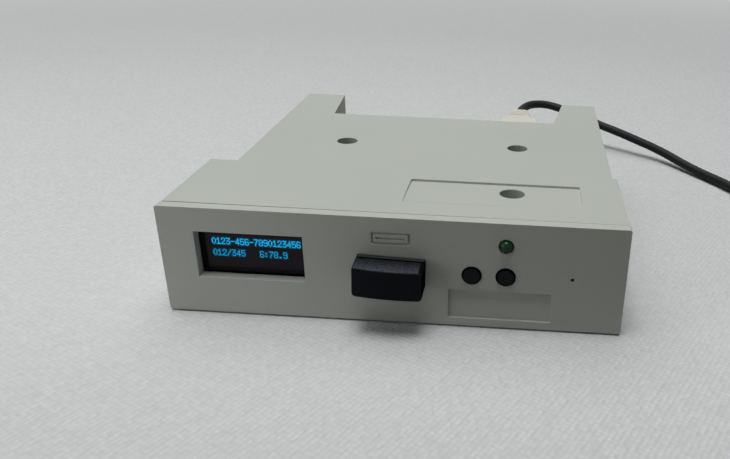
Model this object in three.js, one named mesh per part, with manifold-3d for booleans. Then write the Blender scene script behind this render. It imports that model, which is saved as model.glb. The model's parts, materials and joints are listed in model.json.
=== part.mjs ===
// Floppy drive emulator for a 3.5 inch bay, one inch high, with a stick in its port and its power lead.
// Millimetres. X runs to the right seen from the front, Y to the rear, Z up.
// The drive is built with the bezel's face at y 0, and the last group moves its box's middle to the origin.
import * as THREE from 'three'
import { mergeVertices } from 'three/addons/utils/BufferGeometryUtils.js'
import Module from 'manifold-3d'

const wasm = await Module()
wasm.setup()

// Clearances
const fitGap = 0.3
const overrun = 1

// Bezel
const bezelWidth = 101.6
const bezelHeight = 25.4
const bezelThickness = 2.5
const windowWidth = 23.8
const windowHeight = 11.1
const windowPlaceShares = [-0.3061, 0.561]
const bezelLabelWidth = 22.65
const bezelLabelHeight = 7.1
const bezelLabelPlaceShare = 0.2333
const bezelLabelBottom = 1.9
const labelDepth = 0.35
const pinholePlaceShares = [0.3863, 0.508]
const pinholeRadius = 0.45
const signDrop = 4.9
const signWidth = 8.4
const signHeight = 2.8
const signLine = 0.5
const clipWidth = 8
const clipThickness = 1.5
const clipLength = 7.5
const topClipPlaceShares = [-0.04, 0.374]
const bottomClipPlaceShares = [-0.315, 0.374]

// Case
const sideInset = 0.44
const caseDepth = 95
const wideDepth = 29.9
const earLength = 21
const leftNotch = 6.8
const rightNotch = 1.1
const leftEarTipShare = 0.86
const rightEarTipShare = 0.776
const bayLeftMargin = 3.47
const bayRightMargin = 4.31
const wall = 1.8
const roof = 1.8
const floor = 1.8
const bayFloorSetback = 5
const topLabelLeft = 1
const topLabelSideGap = 9.36
const topLabelFront = 9.5
const topLabelDepth = 13.7

// Screw towers, from the left rear one round to the front one
const leftTowerPlaceShares = [-0.2008, 0.661]
const rightTowerPlaceShares = [0.252, 0.6676]
const frontTowerPlaceShare = 0.248
const legTowerGap = 1.4
const wellRadius = 2.7
const wellWall = 1.3
const wellRise = 2.2
const wellFlange = 1.6
const screwHeadGap = 0.4
const screwHeadHeight = 1.7
const screwShankRadius = 1.25
const screwLength = 9
const crossWidth = 0.6
const crossLength = 2.8
const crossDepth = 0.8
const bossRadius = 3.8
const spigotRadius = 2.7
const mountingPlaceShares = [-0.364, 0.413]
const frontMountingY = 16
const rearMountingSetback = 8
const mountingBossRadius = 3.2
const mountingBossGap = 1.1
const mountingBossCap = 1.2
const mountingHoleRadius = 1.3

// Main board
const boardTopShare = 0.3661
const boardThickness = 1.6
const boardFront = 6.6
const boardRearSetback = 7.5
const boardSideGap = 0.5

// Display module
const displaySideGap = 0.96
const displaySocketGap = 3.05
const displayBoardHeight = 12
const displayBoardThickness = 1.2
const displayLift = 0.55
const glassHeight = 11.5
const glassThickness = 1.4
const glassMargin = 3.4
const glassEndMargin = 4.6
const pinPitch = 2.54
const pinSide = 0.64
const pinBarDepth = 2.5
const displayPinCount = 4
const displayPinReach = 5.6
const displayPinInset = 1.3
const plugHousingLength = 8
const wireRadius = 0.55
const wireLandingInset = 3.76
const wireLandingY = 24
const wireSideShare = 0.35
const wireDropShare = 0.5

// Socket and the plugs that fit its kind
const socketX = 0
const socketLift = 0.64
const socketInset = 0.4
const socketDepth = 14
const mouthWidth = 12.5
const mouthHeight = 5.12
const sheet = 0.3
const tongueSideGap = 0.4
const tongueFront = 2
const socketBlockDepth = 2
const plugSideGap = 0.25
const plugHeightGap = 0.31
const plugLength = 12
const plugPocket = 3
const latchHoleSide = 2
const latchHoleGap = 5
const latchHolePlace = 6

// Cap of the stick
const stickSideWall = 1.5
const stickTopWall = 1.4
const stickReach = 6.5
const stickRim = 1
const stickGroove = 0.5
const stickGrooveDepth = 0.35
const stickTopFall = 0.7
const stickBottomRise = 0.2
const stickCorner = 1.1
const stickSideTaper = 0.3

// Buttons
const buttonPlaceShare = 0.2446
const buttonRise = 3.45
const plungerRadius = 1.9
const buttonStandOut = 0.45
const plungerFlangeReach = 0.5
const plungerFlangeThickness = 1
const plungerLength = 7.85
const buttonTravel = 0.4
const switchWall = 0.45
const switchGap = 1.07
const switchFrontPlate = 0.6
const switchBackPlate = 0.8

// Lamp
const lampPlaceShare = 0.2431
const lampDrop = 5.33
const lampRadius = 1.5
const lampReach = 1.3
const lampFlangeReach = 0.4
const lampFlangeThickness = 1
const legSide = 0.5
const legPitch = 2.54
const switchLegGap = 1.6

// Parts on the board
const dataPinColumns = 17
const headerSpacing = 3.63
const powerPinCount = 4
const powerHeaderX = 25.3
const headerBarHeight = 5
const headerBarSetback = 2.5
const headerPinReach = 6
const jumperColumns = 7
const jumperInset = 1.7
const jumperSetback = 0.6
const jumperPinRise = 8.4
const jumperCapHeight = 6
const jumperCapColumns = [1, 4]
const processorSide = 10
const processorThickness = 1.4
const processorSkirt = 1
const processorSkirtThickness = 0.4
const processorPlaceShares = [0.03, 0.676]
const bufferSize = [8.7, 5.2, 1.5]
const bufferPlaceShares = [0.02, 0.892]
const crystalLength = 11
const crystalWidth = 4.6
const crystalHeight = 3.6
const crystalPlaceShares = [-0.02, 0.486]
const regulatorSize = [6.5, 6.7, 1.6]
const regulatorPlaceShares = [0.374, 0.865]
const capacitorRadius = 3.15
const capacitorHeight = 5.4
const capacitorPlaceShare = 0.374
const frontCapacitorDepthShare = 0.46
const rearCapacitorDepthShare = 0.69

// Power plug at the drive and the lead
const powerPlugSideWall = 1.17
const powerPlugHeight = 7.4
const powerPlugLength = 24
const cavityGap = 0.33
const cavityDepth = 7
const powerReliefLength = 13
const powerReliefWidth = 7
const leadDiameter = 3
const reliefRearShare = 1.5

// Route of the lead from the power plug to the coil, along its middle
const leadRoute = [
  [25.3, 125.7, 12.14],
  [25.3, 129.6, 12.3],
  [26.5, 134.6, 12.7],
  [29.8, 139.2, 13],
  [35, 141, 12.7],
  [41.5, 139.4, 11.6],
  [49, 136, 9.8],
  [56.4, 132.4, 7.9],
  [61.9, 129.3, 6.8],
  [68, 125.3, 5.5],
  [74.2, 121.2, 4.1],
  [78.2, 117.5, 3.2],
  [82, 112.7, 2.4],
  [85.7, 107.5, 1.8],
  [90, 101.3, 1.5],
  [93.1, 96.6, 1.5],
  [95.9, 91.8, 1.5],
  [99.3, 85.2, 1.6],
  [101.6, 77.8, 1.9],
  [102.8, 70.4, 2.2],
  [103.1, 66.8, 2.4],
  [103.1, 63.3, 2.4]
]
const leadSides = 8
const leadSteps = 60

// Coil of the length that is put away
const coilPlace = [127.5, 60]
const coilOuterRadius = 24.4
const coilPitch = 3.5
const coilTurns = 7.5
const coilClimbTurns = 0.5
const coilStepsPerTurn = 24
const coilSides = 6
const tieThickness = 0.6
const tieWidth = 6

// Tail of the lead and the plug at its far end
const tailLength = 21
const farSideWall = 1.8
const farTopWall = 1.75
const farBodyLength = 24
const farBodyCorner = 1.6
const farReliefLength = 12
const farReliefRadius = 3.2

// Shares and counts
const roundSides = 32
const smallSides = 20
const tailSteps = 12
const wireSteps = 14

// A closed geometry as a solid that can be cut and joined
function solidOf(geometry) {
  const bare = geometry.index ? geometry.toNonIndexed() : geometry.clone()
  bare.deleteAttribute('normal')
  bare.deleteAttribute('uv')
  const merged = mergeVertices(bare)
  return new wasm.Manifold(
    new wasm.Mesh({
      numProp: 3,
      vertProperties: merged.attributes.position.array,
      triVerts: new Uint32Array(merged.index.array)
    })
  )
}

function geometryOf(solid) {
  const mesh = solid.getMesh()
  const geometry = new THREE.BufferGeometry()
  geometry.setAttribute('position', new THREE.BufferAttribute(mesh.vertProperties, 3))
  geometry.setIndex(new THREE.BufferAttribute(mesh.triVerts, 1))
  geometry.computeVertexNormals()
  return geometry
}

// A block between two corners
function block(low, high) {
  const size = high.map((value, axis) => value - low[axis])
  const middle = high.map((value, axis) => (value + low[axis]) / 2)
  return solidOf(new THREE.BoxGeometry(...size).translate(...middle))
}

// A block given by its middle and size in X and its ends in Y and Z
function slab(middleX, width, [front, rear], [bottom, top]) {
  return block([middleX - width / 2, front, bottom], [middleX + width / 2, rear, top])
}

// A rod along Y from front to rear
function rodY(x, z, radius, front, rear, sides = roundSides) {
  const rod = new THREE.CylinderGeometry(radius, radius, rear - front, sides)
  return solidOf(rod.translate(x, (front + rear) / 2, z))
}

// A rod along Z from bottom to top
function rodZ(x, y, radius, bottom, top, sides = roundSides) {
  const rod = new THREE.CylinderGeometry(radius, radius, top - bottom, sides)
  return solidOf(rod.rotateX(Math.PI / 2).translate(x, y, (bottom + top) / 2))
}

// An outline seen from above, raised from bottom to top
function prism(outline, bottom, top) {
  const shape = new THREE.Shape(outline.map(([x, y]) => new THREE.Vector2(x, y)))
  const raised = new THREE.ExtrudeGeometry(shape, { depth: top - bottom, bevelEnabled: false })
  return solidOf(raised.translate(0, 0, bottom))
}

// A shape turned about the Y axis through x and z, from pairs of radius and y that start and end on the axis
function turnedY(profile, x, z, sides = roundSides) {
  const points = profile.map(([radius, y]) => new THREE.Vector2(radius, y))
  return solidOf(new THREE.LatheGeometry(points, sides).translate(x, 0, z))
}

// A round tube along a curve
function tube(curve, radius, sides, steps) {
  const section = new THREE.Shape()
  for (let side = 0; side < sides; side++) {
    const angle = (2 * Math.PI * (side + 1 / 2)) / sides
    const point = [radius * Math.cos(angle), radius * Math.sin(angle)]
    if (side === 0) section.moveTo(...point)
    else section.lineTo(...point)
  }
  section.closePath()
  return solidOf(new THREE.ExtrudeGeometry(section, { steps, extrudePath: curve, bevelEnabled: false }))
}

const join = (first, ...rest) => rest.reduce((whole, piece) => whole.add(piece), first)
const cut = (first, ...rest) => rest.reduce((whole, piece) => whole.subtract(piece), first)

// The corner where two edges of an outline meet once both have moved inwards
function insetCorner(before, corner, after, distance) {
  const moved = (from, to) => {
    const along = [to[0] - from[0], to[1] - from[1]]
    const length = Math.hypot(...along)
    const inwards = [-along[1] / length, along[0] / length]
    return { inwards, reach: inwards[0] * from[0] + inwards[1] * from[1] + distance }
  }
  const first = moved(before, corner)
  const second = moved(corner, after)
  const turn = first.inwards[0] * second.inwards[1] - first.inwards[1] * second.inwards[0]
  const x = (first.reach * second.inwards[1] - second.reach * first.inwards[1]) / turn
  const y = (second.reach * first.inwards[0] - first.reach * second.inwards[0]) / turn
  return [x, y]
}

// An outline that runs counterclockwise, with every edge moved inwards
function inset(outline, distance) {
  const count = outline.length
  return outline.map((corner, at) =>
    insetCorner(outline[(at + count - 1) % count], corner, outline[(at + 1) % count], distance)
  )
}

const plasticGrey = { color: 0xaeb3aa, roughness: 0.62, metalness: 0 }
const boardGreen = { color: 0x1e4a32, roughness: 0.5, metalness: 0 }
const blackPlastic = { color: 0x17181a, roughness: 0.5, metalness: 0 }
const metalBright = { color: 0xc8cacc, roughness: 0.3, metalness: 1 }
const chipBlack = { color: 0x222326, roughness: 0.6, metalness: 0 }
const leadBlack = { color: 0x15171a, roughness: 0.5, metalness: 0 }
const creamPlastic = { color: 0xd9d2bf, roughness: 0.5, metalness: 0 }

const drive = new THREE.Group()

function add(name, solid, look) {
  const mesh = new THREE.Mesh(geometryOf(solid), new THREE.MeshStandardMaterial(look))
  mesh.name = name
  drive.add(mesh)
}

// Places that several pieces share
const caseSide = bezelWidth / 2 - sideInset
const caseFront = bezelThickness + fitGap
const caseLeft = -caseSide + leftNotch
const caseRight = caseSide - rightNotch
const bodyDepth = caseDepth - earLength
const bayFloorDepth = caseDepth - bayFloorSetback
const boardTop = bezelHeight * boardTopShare
const boardBottom = boardTop - boardThickness
const wellSeat = boardTop + wellRise
const screwHeadRadius = wellRadius - screwHeadGap
const mountingBossHeight = boardBottom - mountingBossGap
const mountingHoleDepth = mountingBossHeight - mountingBossCap
const boardLeft = caseLeft + wall + boardSideGap
const boardRight = caseRight - wall - boardSideGap
const boardRear = caseDepth - boardRearSetback
const parting = boardTop + fitGap

// The buttons' switches, the lamp's legs behind them and the front tower behind the legs
const plungerFlangeRadius = plungerRadius + plungerFlangeReach
const switchSide = 2 * (plungerFlangeRadius + fitGap + switchWall)
const buttonSpacing = switchSide + switchGap
const flangeFront = plungerLength - buttonStandOut
const flangeRear = flangeFront + plungerFlangeThickness
const switchCavityRear = flangeRear + buttonTravel + fitGap
const switchRear = switchCavityRear + switchBackPlate
const legRear = switchRear + switchLegGap + legSide
const frontTowerY = legRear + legTowerGap + wellWall + wellRadius

// A place given as shares of the bezel's width and the case body's depth
const placed = ([wide, deep]) => [bezelWidth * wide, bodyDepth * deep]

const towers = [
  { name: 'left', place: placed(leftTowerPlaceShares) },
  { name: 'right', place: placed(rightTowerPlaceShares) },
  { name: 'front', place: [bezelWidth * frontTowerPlaceShare, frontTowerY] }
]

const windowMiddleX = bezelWidth * windowPlaceShares[0]
const windowMiddleZ = bezelHeight * windowPlaceShares[1]
const displayZ = windowMiddleZ + displayLift
const displayLeft = -caseSide + wall + displaySideGap
const displayRight = socketX - mouthWidth / 2 - sheet - displaySocketGap

const socketZ = boardTop + socketLift + sheet + mouthHeight / 2
const plugWidth = mouthWidth - 2 * plugSideGap
const plugHeight = mouthHeight - 2 * plugHeightGap
const plugInnerWidth = plugWidth - 2 * sheet
const plugInnerHeight = plugHeight - 2 * sheet
// The socket's tongue lies over the plug's insulator, each with half of the sleeve's height
const tongueThickness = plugInnerHeight / 2 - 2 * fitGap
const tongueOffset = plugInnerHeight / 2 - fitGap - tongueThickness / 2
const stickWidth = plugWidth + 2 * stickSideWall
const stickHeight = plugHeight + 2 * stickTopWall
const farBodyWidth = plugWidth + 2 * farSideWall
const farBodyHeight = plugHeight + 2 * farTopWall

const buttonZ = boardTop + buttonRise
const rightButtonX = bezelWidth * buttonPlaceShare
const buttons = [
  { name: 'left', x: rightButtonX - buttonSpacing },
  { name: 'right', x: rightButtonX }
]
const lampX = bezelWidth * lampPlaceShare
const lampZ = bezelHeight - lampDrop

const cavitySide = pinSide + 2 * cavityGap
const headerFront = boardRear - headerBarSetback
const headerRear = boardRear
const headerZ = parting + headerBarHeight / 2
const powerHeaderWidth = powerPinCount * pinPitch
const powerPlugWidth = powerHeaderWidth + 2 * powerPlugSideWall
const dataHeaderWidth = dataPinColumns * pinPitch
const dataHeaderX = powerHeaderX - powerHeaderWidth / 2 - headerSpacing - dataHeaderWidth / 2
const bayLeft = dataHeaderX - dataHeaderWidth / 2 - bayLeftMargin
const bayRight = powerHeaderX + powerPlugWidth / 2 + bayRightMargin

// The case's outline seen from above, with its middle part or bay floor ending at rear
function caseOutline(rear) {
  const along = (caseDepth - rear) / earLength
  const leftTip = caseLeft + (bayLeft - caseLeft) * leftEarTipShare
  const rightTip = caseRight - (caseRight - bayRight) * rightEarTipShare
  return [
    [-caseSide, caseFront],
    [caseSide, caseFront],
    [caseSide, wideDepth],
    [caseRight, wideDepth],
    [caseRight, caseDepth],
    [rightTip, caseDepth],
    [rightTip + (bayRight - rightTip) * along, rear],
    [leftTip + (bayLeft - leftTip) * along, rear],
    [leftTip, caseDepth],
    [caseLeft, caseDepth],
    [caseLeft, wideDepth],
    [-caseSide, wideDepth]
  ]
}

// The space inside the case between two heights, open at the front
function caseInside(rear, bottom, top) {
  const inner = prism(inset(caseOutline(rear), wall), bottom, top)
  const front = block(
    [-caseSide + wall, caseFront - overrun, bottom],
    [caseSide - wall, wideDepth - wall, top]
  )
  return inner.add(front)
}

function makeTopCover() {
  const bottom = parting + fitGap
  const underRoof = bezelHeight - roof
  const shell = cut(
    prism(caseOutline(bodyDepth), bottom, bezelHeight),
    caseInside(bodyDepth, bottom - overrun, underRoof)
  )
  const tubes = towers.map(({ place: [x, y] }) =>
    rodZ(x, y, wellRadius + wellWall, wellSeat, underRoof + roof / 2)
  )
  const wells = towers.map(({ place: [x, y] }) =>
    rodZ(x, y, wellRadius, wellSeat + wellFlange, bezelHeight + overrun)
  )
  const holes = towers.map(({ place: [x, y] }) =>
    rodZ(x, y, screwShankRadius + fitGap, wellSeat - overrun, bezelHeight, smallSides)
  )
  const label = block(
    [topLabelLeft, topLabelFront, bezelHeight - labelDepth],
    [caseSide - topLabelSideGap, topLabelFront + topLabelDepth, bezelHeight + overrun]
  )
  add('top_cover', cut(join(shell, ...tubes), label, ...wells, ...holes), plasticGrey)
}

function makeBottomCover() {
  const shell = cut(
    prism(caseOutline(bayFloorDepth), 0, parting),
    caseInside(bayFloorDepth, floor, parting + overrun)
  )
  const underBoard = boardBottom - fitGap
  const bay = block(
    [bayLeft, bodyDepth, underBoard],
    [bayRight, caseDepth, parting + overrun]
  )
  const bosses = towers.flatMap(({ place: [x, y] }) => [
    rodZ(x, y, bossRadius, floor / 2, underBoard),
    rodZ(x, y, spigotRadius, floor / 2, wellSeat - fitGap)
  ])
  const pilots = towers.map(({ place: [x, y] }) =>
    rodZ(x, y, screwShankRadius + fitGap, floor, wellSeat + overrun, smallSides)
  )
  const mountingYs = [frontMountingY, bodyDepth - rearMountingSetback]
  const mountingPlaces = mountingPlaceShares.flatMap((share) =>
    mountingYs.map((y) => [bezelWidth * share, y])
  )
  const mountingBosses = mountingPlaces.map(([x, y]) =>
    rodZ(x, y, mountingBossRadius, floor / 2, mountingBossHeight)
  )
  const mountingHoles = mountingPlaces.map(([x, y]) =>
    rodZ(x, y, mountingHoleRadius, -overrun, mountingHoleDepth, smallSides)
  )
  add(
    'bottom_cover',
    cut(join(cut(shell, bay), ...bosses, ...mountingBosses), ...pilots, ...mountingHoles),
    plasticGrey
  )
}

// The sign over the port: the outline of a flat port with a bar in it
function signCut() {
  const face = [-overrun, labelDepth]
  const middleZ = bezelHeight - signDrop
  const heights = (height) => [middleZ - height / 2, middleZ + height / 2]
  const outer = slab(socketX, signWidth, face, heights(signHeight))
  const innerWidth = signWidth - 2 * signLine
  const inner = slab(socketX, innerWidth, face, heights(signHeight - 2 * signLine))
  const bar = slab(socketX, innerWidth - 2 * signLine, face, heights(signLine))
  return join(cut(outer, inner), bar)
}

function makeBezel() {
  const through = [-overrun, bezelThickness + overrun]
  const plate = slab(0, bezelWidth, [0, bezelThickness], [0, bezelHeight])
  const roofLine = bezelHeight - roof - fitGap
  const clipSpan = [bezelThickness / 2, bezelThickness + clipLength]
  const floorLine = floor + fitGap
  const clip = (share, heights) => slab(bezelWidth * share, clipWidth, clipSpan, heights)
  const clips = [
    ...topClipPlaceShares.map((share) => clip(share, [roofLine - clipThickness, roofLine])),
    ...bottomClipPlaceShares.map((share) => clip(share, [floorLine, floorLine + clipThickness]))
  ]
  const socketHalf = mouthHeight / 2 + sheet + fitGap
  const cuts = [
    slab(windowMiddleX, windowWidth, through, [
      windowMiddleZ - windowHeight / 2,
      windowMiddleZ + windowHeight / 2
    ]),
    slab(socketX, mouthWidth + 2 * (sheet + fitGap), through, [socketZ - socketHalf, socketZ + socketHalf]),
    ...buttons.map(({ x }) => rodY(x, buttonZ, plungerRadius + fitGap, ...through)),
    rodY(lampX, lampZ, lampRadius + fitGap, ...through),
    rodY(
      bezelWidth * pinholePlaceShares[0],
      bezelHeight * pinholePlaceShares[1],
      pinholeRadius,
      ...through,
      smallSides
    ),
    slab(
      bezelWidth * bezelLabelPlaceShare,
      bezelLabelWidth,
      [-overrun, labelDepth],
      [bezelLabelBottom, bezelLabelBottom + bezelLabelHeight]
    ),
    signCut()
  ]
  add('front_bezel', cut(join(plate, ...clips), ...cuts), plasticGrey)
}

function makeCaseScrews() {
  const seat = wellSeat + wellFlange + fitGap
  const top = seat + screwHeadHeight
  for (const { name, place: [x, y] } of towers) {
    const head = rodZ(x, y, screwHeadRadius, seat, top)
    const shank = rodZ(x, y, screwShankRadius, seat - screwLength, seat + screwHeadHeight / 2, smallSides)
    const slots = [
      [crossLength, crossWidth],
      [crossWidth, crossLength]
    ].map(([wide, deep]) =>
      block([x - wide / 2, y - deep / 2, top - crossDepth], [x + wide / 2, y + deep / 2, top + overrun])
    )
    add(`case_screw_${name}`, cut(join(head, shank), ...slots), metalBright)
  }
}

function makeMainBoard() {
  const waist = bodyDepth - wall - boardSideGap
  const outline = [
    [boardLeft, boardFront],
    [boardRight, boardFront],
    [boardRight, waist],
    [bayRight - boardSideGap, waist],
    [bayRight - boardSideGap, boardRear],
    [bayLeft + boardSideGap, boardRear],
    [bayLeft + boardSideGap, waist],
    [boardLeft, waist]
  ]
  const holes = towers.map(({ place: [x, y] }) =>
    rodZ(x, y, spigotRadius + fitGap, boardBottom - overrun, boardTop + overrun)
  )
  add('main_board', cut(prism(outline, boardBottom, boardTop), ...holes), boardGreen)
}

// Heights of the display's pins
const displayPinZs = Array.from(
  { length: displayPinCount },
  (unused, at) => displayZ + (at - (displayPinCount - 1) / 2) * pinPitch
)
const displayBoardFront = caseFront + glassThickness + fitGap
const displayBoardRear = displayBoardFront + displayBoardThickness
const displayBarFront = displayBoardRear + fitGap
const displayBarRear = displayBarFront + pinBarDepth
const displayPinX = displayLeft + displayPinInset
const displayHousingFront = displayBarRear + fitGap
const displayHousingRear = displayHousingFront + plugHousingLength

function makeDisplay() {
  const heights = (height) => [displayZ - height / 2, displayZ + height / 2]
  const boardMiddleX = (displayLeft + displayRight) / 2
  const glassLeft = displayLeft + glassMargin
  const glassRight = displayRight - glassEndMargin
  add(
    'display_board',
    slab(
      boardMiddleX,
      displayRight - displayLeft,
      [displayBoardFront, displayBoardRear],
      heights(displayBoardHeight)
    ),
    boardGreen
  )
  add(
    'display_glass',
    slab(
      (glassLeft + glassRight) / 2,
      glassRight - glassLeft,
      [caseFront, caseFront + glassThickness],
      heights(glassHeight)
    ),
    { color: 0x0a0a0e, roughness: 0.12, metalness: 0 }
  )
  const barHeights = heights(displayPinCount * pinPitch)
  const bar = slab(displayPinX, pinPitch, [displayBarFront, displayBarRear], barHeights)
  const pins = displayPinZs.map((z) =>
    slab(
      displayPinX,
      pinSide,
      [displayBarRear - pinSide, displayBarRear + displayPinReach],
      [z - pinSide / 2, z + pinSide / 2]
    )
  )
  add('display_header', join(bar, ...pins), blackPlastic)
  const housing = slab(displayPinX, pinPitch, [displayHousingFront, displayHousingRear], barHeights)
  const cavities = displayPinZs.map((z) =>
    slab(
      displayPinX,
      cavitySide,
      [displayHousingFront - overrun, displayBarRear + displayPinReach + fitGap],
      [z - cavitySide / 2, z + cavitySide / 2]
    )
  )
  add('display_plug', cut(housing, ...cavities), blackPlastic)
}

// The four wires run back from the display's plug and down to the board, an even pitch apart at both ends
function makeDisplayWires() {
  displayPinZs.forEach((z, at) => {
    const start = new THREE.Vector3(displayPinX, displayHousingRear + fitGap, z)
    const landingX = boardLeft + wireLandingInset + at * pinPitch
    const end = new THREE.Vector3(landingX, wireLandingY, parting)
    const run = wireLandingY - displayHousingRear
    const side = new THREE.Vector3(start.x, start.y + run * wireSideShare, start.z)
    const drop = new THREE.Vector3(end.x, end.y, end.z + (displayZ - parting) * wireDropShare)
    const curve = new THREE.CubicBezierCurve3(start, side, drop, end)
    add(`display_wire_${at + 1}`, tube(curve, wireRadius, leadSides, wireSteps), {
      color: 0x3a4452,
      roughness: 0.5,
      metalness: 0
    })
  })
}

function makeSocket() {
  const rear = socketInset + socketDepth
  const shellHalf = mouthHeight / 2 + sheet
  const mouth = slab(
    socketX,
    mouthWidth,
    [socketInset - overrun, rear + overrun],
    [socketZ - mouthHeight / 2, socketZ + mouthHeight / 2]
  )
  const shell = slab(
    socketX,
    mouthWidth + 2 * sheet,
    [socketInset, rear],
    [socketZ - shellHalf, socketZ + shellHalf]
  )
  add('usb_socket_shell', cut(shell, mouth), metalBright)
  const tongueZ = socketZ + tongueOffset
  const blockHalf = mouthHeight / 2 - fitGap
  const tongue = slab(
    socketX,
    plugInnerWidth - 2 * tongueSideGap,
    [socketInset + tongueFront, rear - socketBlockDepth / 2],
    [tongueZ - tongueThickness / 2, tongueZ + tongueThickness / 2]
  )
  const base = slab(
    socketX,
    mouthWidth - 2 * fitGap,
    [rear - socketBlockDepth, rear],
    [socketZ - blockHalf, socketZ + blockHalf]
  )
  add('usb_socket_tongue', join(tongue, base), blackPlastic)
}

// The metal sleeve of a plug that points to the rear, out of a body whose rear face is at face
function plugSleeve(x, z, face) {
  const span = [face - plugPocket, face + plugLength]
  const heights = (height) => [z - height / 2, z + height / 2]
  const sleeve = slab(x, plugWidth, span, heights(plugHeight))
  const hollow = slab(
    x,
    plugInnerWidth,
    [span[0] - overrun, span[1] + overrun],
    heights(plugInnerHeight)
  )
  const holeMiddle = face + latchHolePlace
  const holes = [-1, 1].map((side) =>
    slab(
      x + (side * latchHoleGap) / 2,
      latchHoleSide,
      [holeMiddle - latchHoleSide / 2, holeMiddle + latchHoleSide / 2],
      [z, z + plugHeight]
    )
  )
  return cut(sleeve, hollow, ...holes)
}

function plugInsulator(x, z, face) {
  const middle = z - tongueOffset
  return slab(
    x,
    plugInnerWidth - 2 * fitGap,
    [face - plugPocket, face + plugLength - fitGap],
    [middle - tongueThickness / 2, middle + tongueThickness / 2]
  )
}

// The pocket in a plug's body that holds its sleeve
function plugPocketCut(x, z, face) {
  const half = plugHeight / 2 + fitGap
  return slab(
    x,
    plugWidth + 2 * fitGap,
    [face - plugPocket - fitGap, face + overrun],
    [z - half, z + half]
  )
}

function makeStick() {
  const rear = -fitGap
  const front = -stickReach
  const top = socketZ + stickHeight / 2
  const bottom = socketZ - stickHeight / 2
  const rimFront = rear - stickRim
  const grooveFront = rimFront - stickGroove
  const profile = [
    [rear, bottom],
    [rear, top],
    [rimFront, top],
    [rimFront, top - stickGrooveDepth],
    [grooveFront, top - stickGrooveDepth],
    [grooveFront, top - stickGrooveDepth / 2],
    [front, top - stickTopFall],
    [front, bottom + stickBottomRise]
  ]
  const shape = new THREE.Shape(profile.map(([y, z]) => new THREE.Vector2(y, z)))
  const sideways = new THREE.ExtrudeGeometry(shape, { depth: stickWidth, bevelEnabled: false })
  // The profile is drawn in Y and Z and raised along X
  const turn = new THREE.Matrix4().set(0, 0, 1, 0, 1, 0, 0, 0, 0, 1, 0, 0, 0, 0, 0, 1)
  const body = solidOf(sideways.applyMatrix4(turn).translate(socketX - stickWidth / 2, 0, 0))
  const half = stickWidth / 2
  const frontHalf = half - stickSideTaper
  const plan = [
    [socketX - frontHalf + stickCorner, front],
    [socketX + frontHalf - stickCorner, front],
    [socketX + frontHalf, front + stickCorner],
    [socketX + half, rimFront],
    [socketX + half, rear],
    [socketX - half, rear],
    [socketX - half, rimFront],
    [socketX - frontHalf, front + stickCorner]
  ]
  const trimmed = body.intersect(prism(plan, bottom - overrun, top + overrun))
  add('stick_cap', cut(trimmed, plugPocketCut(socketX, socketZ, rear)), blackPlastic)
  add('stick_plug_shell', plugSleeve(socketX, socketZ, rear), metalBright)
  add('stick_plug_insulator', plugInsulator(socketX, socketZ, rear), chipBlack)
}

function makeButtons() {
  const cavityFront = flangeFront - fitGap
  const switchFront = cavityFront - switchFrontPlate
  const top = buttonZ + switchSide / 2
  for (const { name, x } of buttons) {
    const plunger = rodY(x, buttonZ, plungerRadius, -buttonStandOut, flangeFront + plungerFlangeThickness / 2)
    const flange = rodY(x, buttonZ, plungerFlangeRadius, flangeFront, flangeRear)
    add(`button_${name}`, join(plunger, flange), blackPlastic)
    const body = slab(x, switchSide, [switchFront, switchRear], [parting, top])
    const cavity = rodY(x, buttonZ, plungerFlangeRadius + fitGap, cavityFront, switchCavityRear)
    const mouth = rodY(x, buttonZ, plungerRadius + fitGap, switchFront - overrun, switchCavityRear)
    add(`switch_body_${name}`, cut(body, cavity, mouth), chipBlack)
  }
}

function makeLamp() {
  const collarRear = caseFront + lampFlangeThickness
  const collarRadius = lampRadius + lampFlangeReach
  const domeSteps = 8
  const domeMiddle = lampRadius - lampReach
  const dome = Array.from({ length: domeSteps + 1 }, (unused, at) => {
    const angle = (Math.PI / 2) * (at / domeSteps)
    return [lampRadius * Math.sin(angle), domeMiddle - lampRadius * Math.cos(angle)]
  })
  const profile = [
    ...dome,
    [lampRadius, caseFront],
    [collarRadius, caseFront],
    [collarRadius, collarRear],
    [0, collarRear]
  ]
  add('status_lamp', turnedY(profile, lampX, lampZ, smallSides), {
    color: 0x0f6b34,
    roughness: 0.2,
    metalness: 0
  })
  for (const [name, side] of [['left', -1], ['right', 1]]) {
    const x = lampX + (side * legPitch) / 2
    const heights = [lampZ - legSide / 2, lampZ + legSide / 2]
    const along = slab(x, legSide, [collarRear + fitGap, legRear], heights)
    const down = slab(x, legSide, [legRear - legSide, legRear], [parting, lampZ])
    add(`lamp_leg_${name}`, join(along, down), metalBright)
  }
}

// Pins that stick out of a bar to the rear, each with a leg down to the board in front of the bar
function angledHeader(middleX, columns, rows) {
  const width = columns * pinPitch
  const barTop = parting + headerBarHeight
  const bar = slab(middleX, width, [headerFront, headerRear], [parting, barTop])
  const pieces = []
  for (let column = 0; column < columns; column++) {
    const x = middleX + (column - (columns - 1) / 2) * pinPitch
    rows.forEach((row, at) => {
      const z = headerZ + row * pinPitch
      const legRear = headerFront - pinSide - at * pinPitch
      const heights = [z - pinSide / 2, z + pinSide / 2]
      pieces.push(slab(x, pinSide, [legRear - pinSide, headerRear + headerPinReach], heights))
      pieces.push(slab(x, pinSide, [legRear - pinSide, legRear], [parting, z]))
    })
  }
  return join(bar, ...pieces)
}

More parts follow.
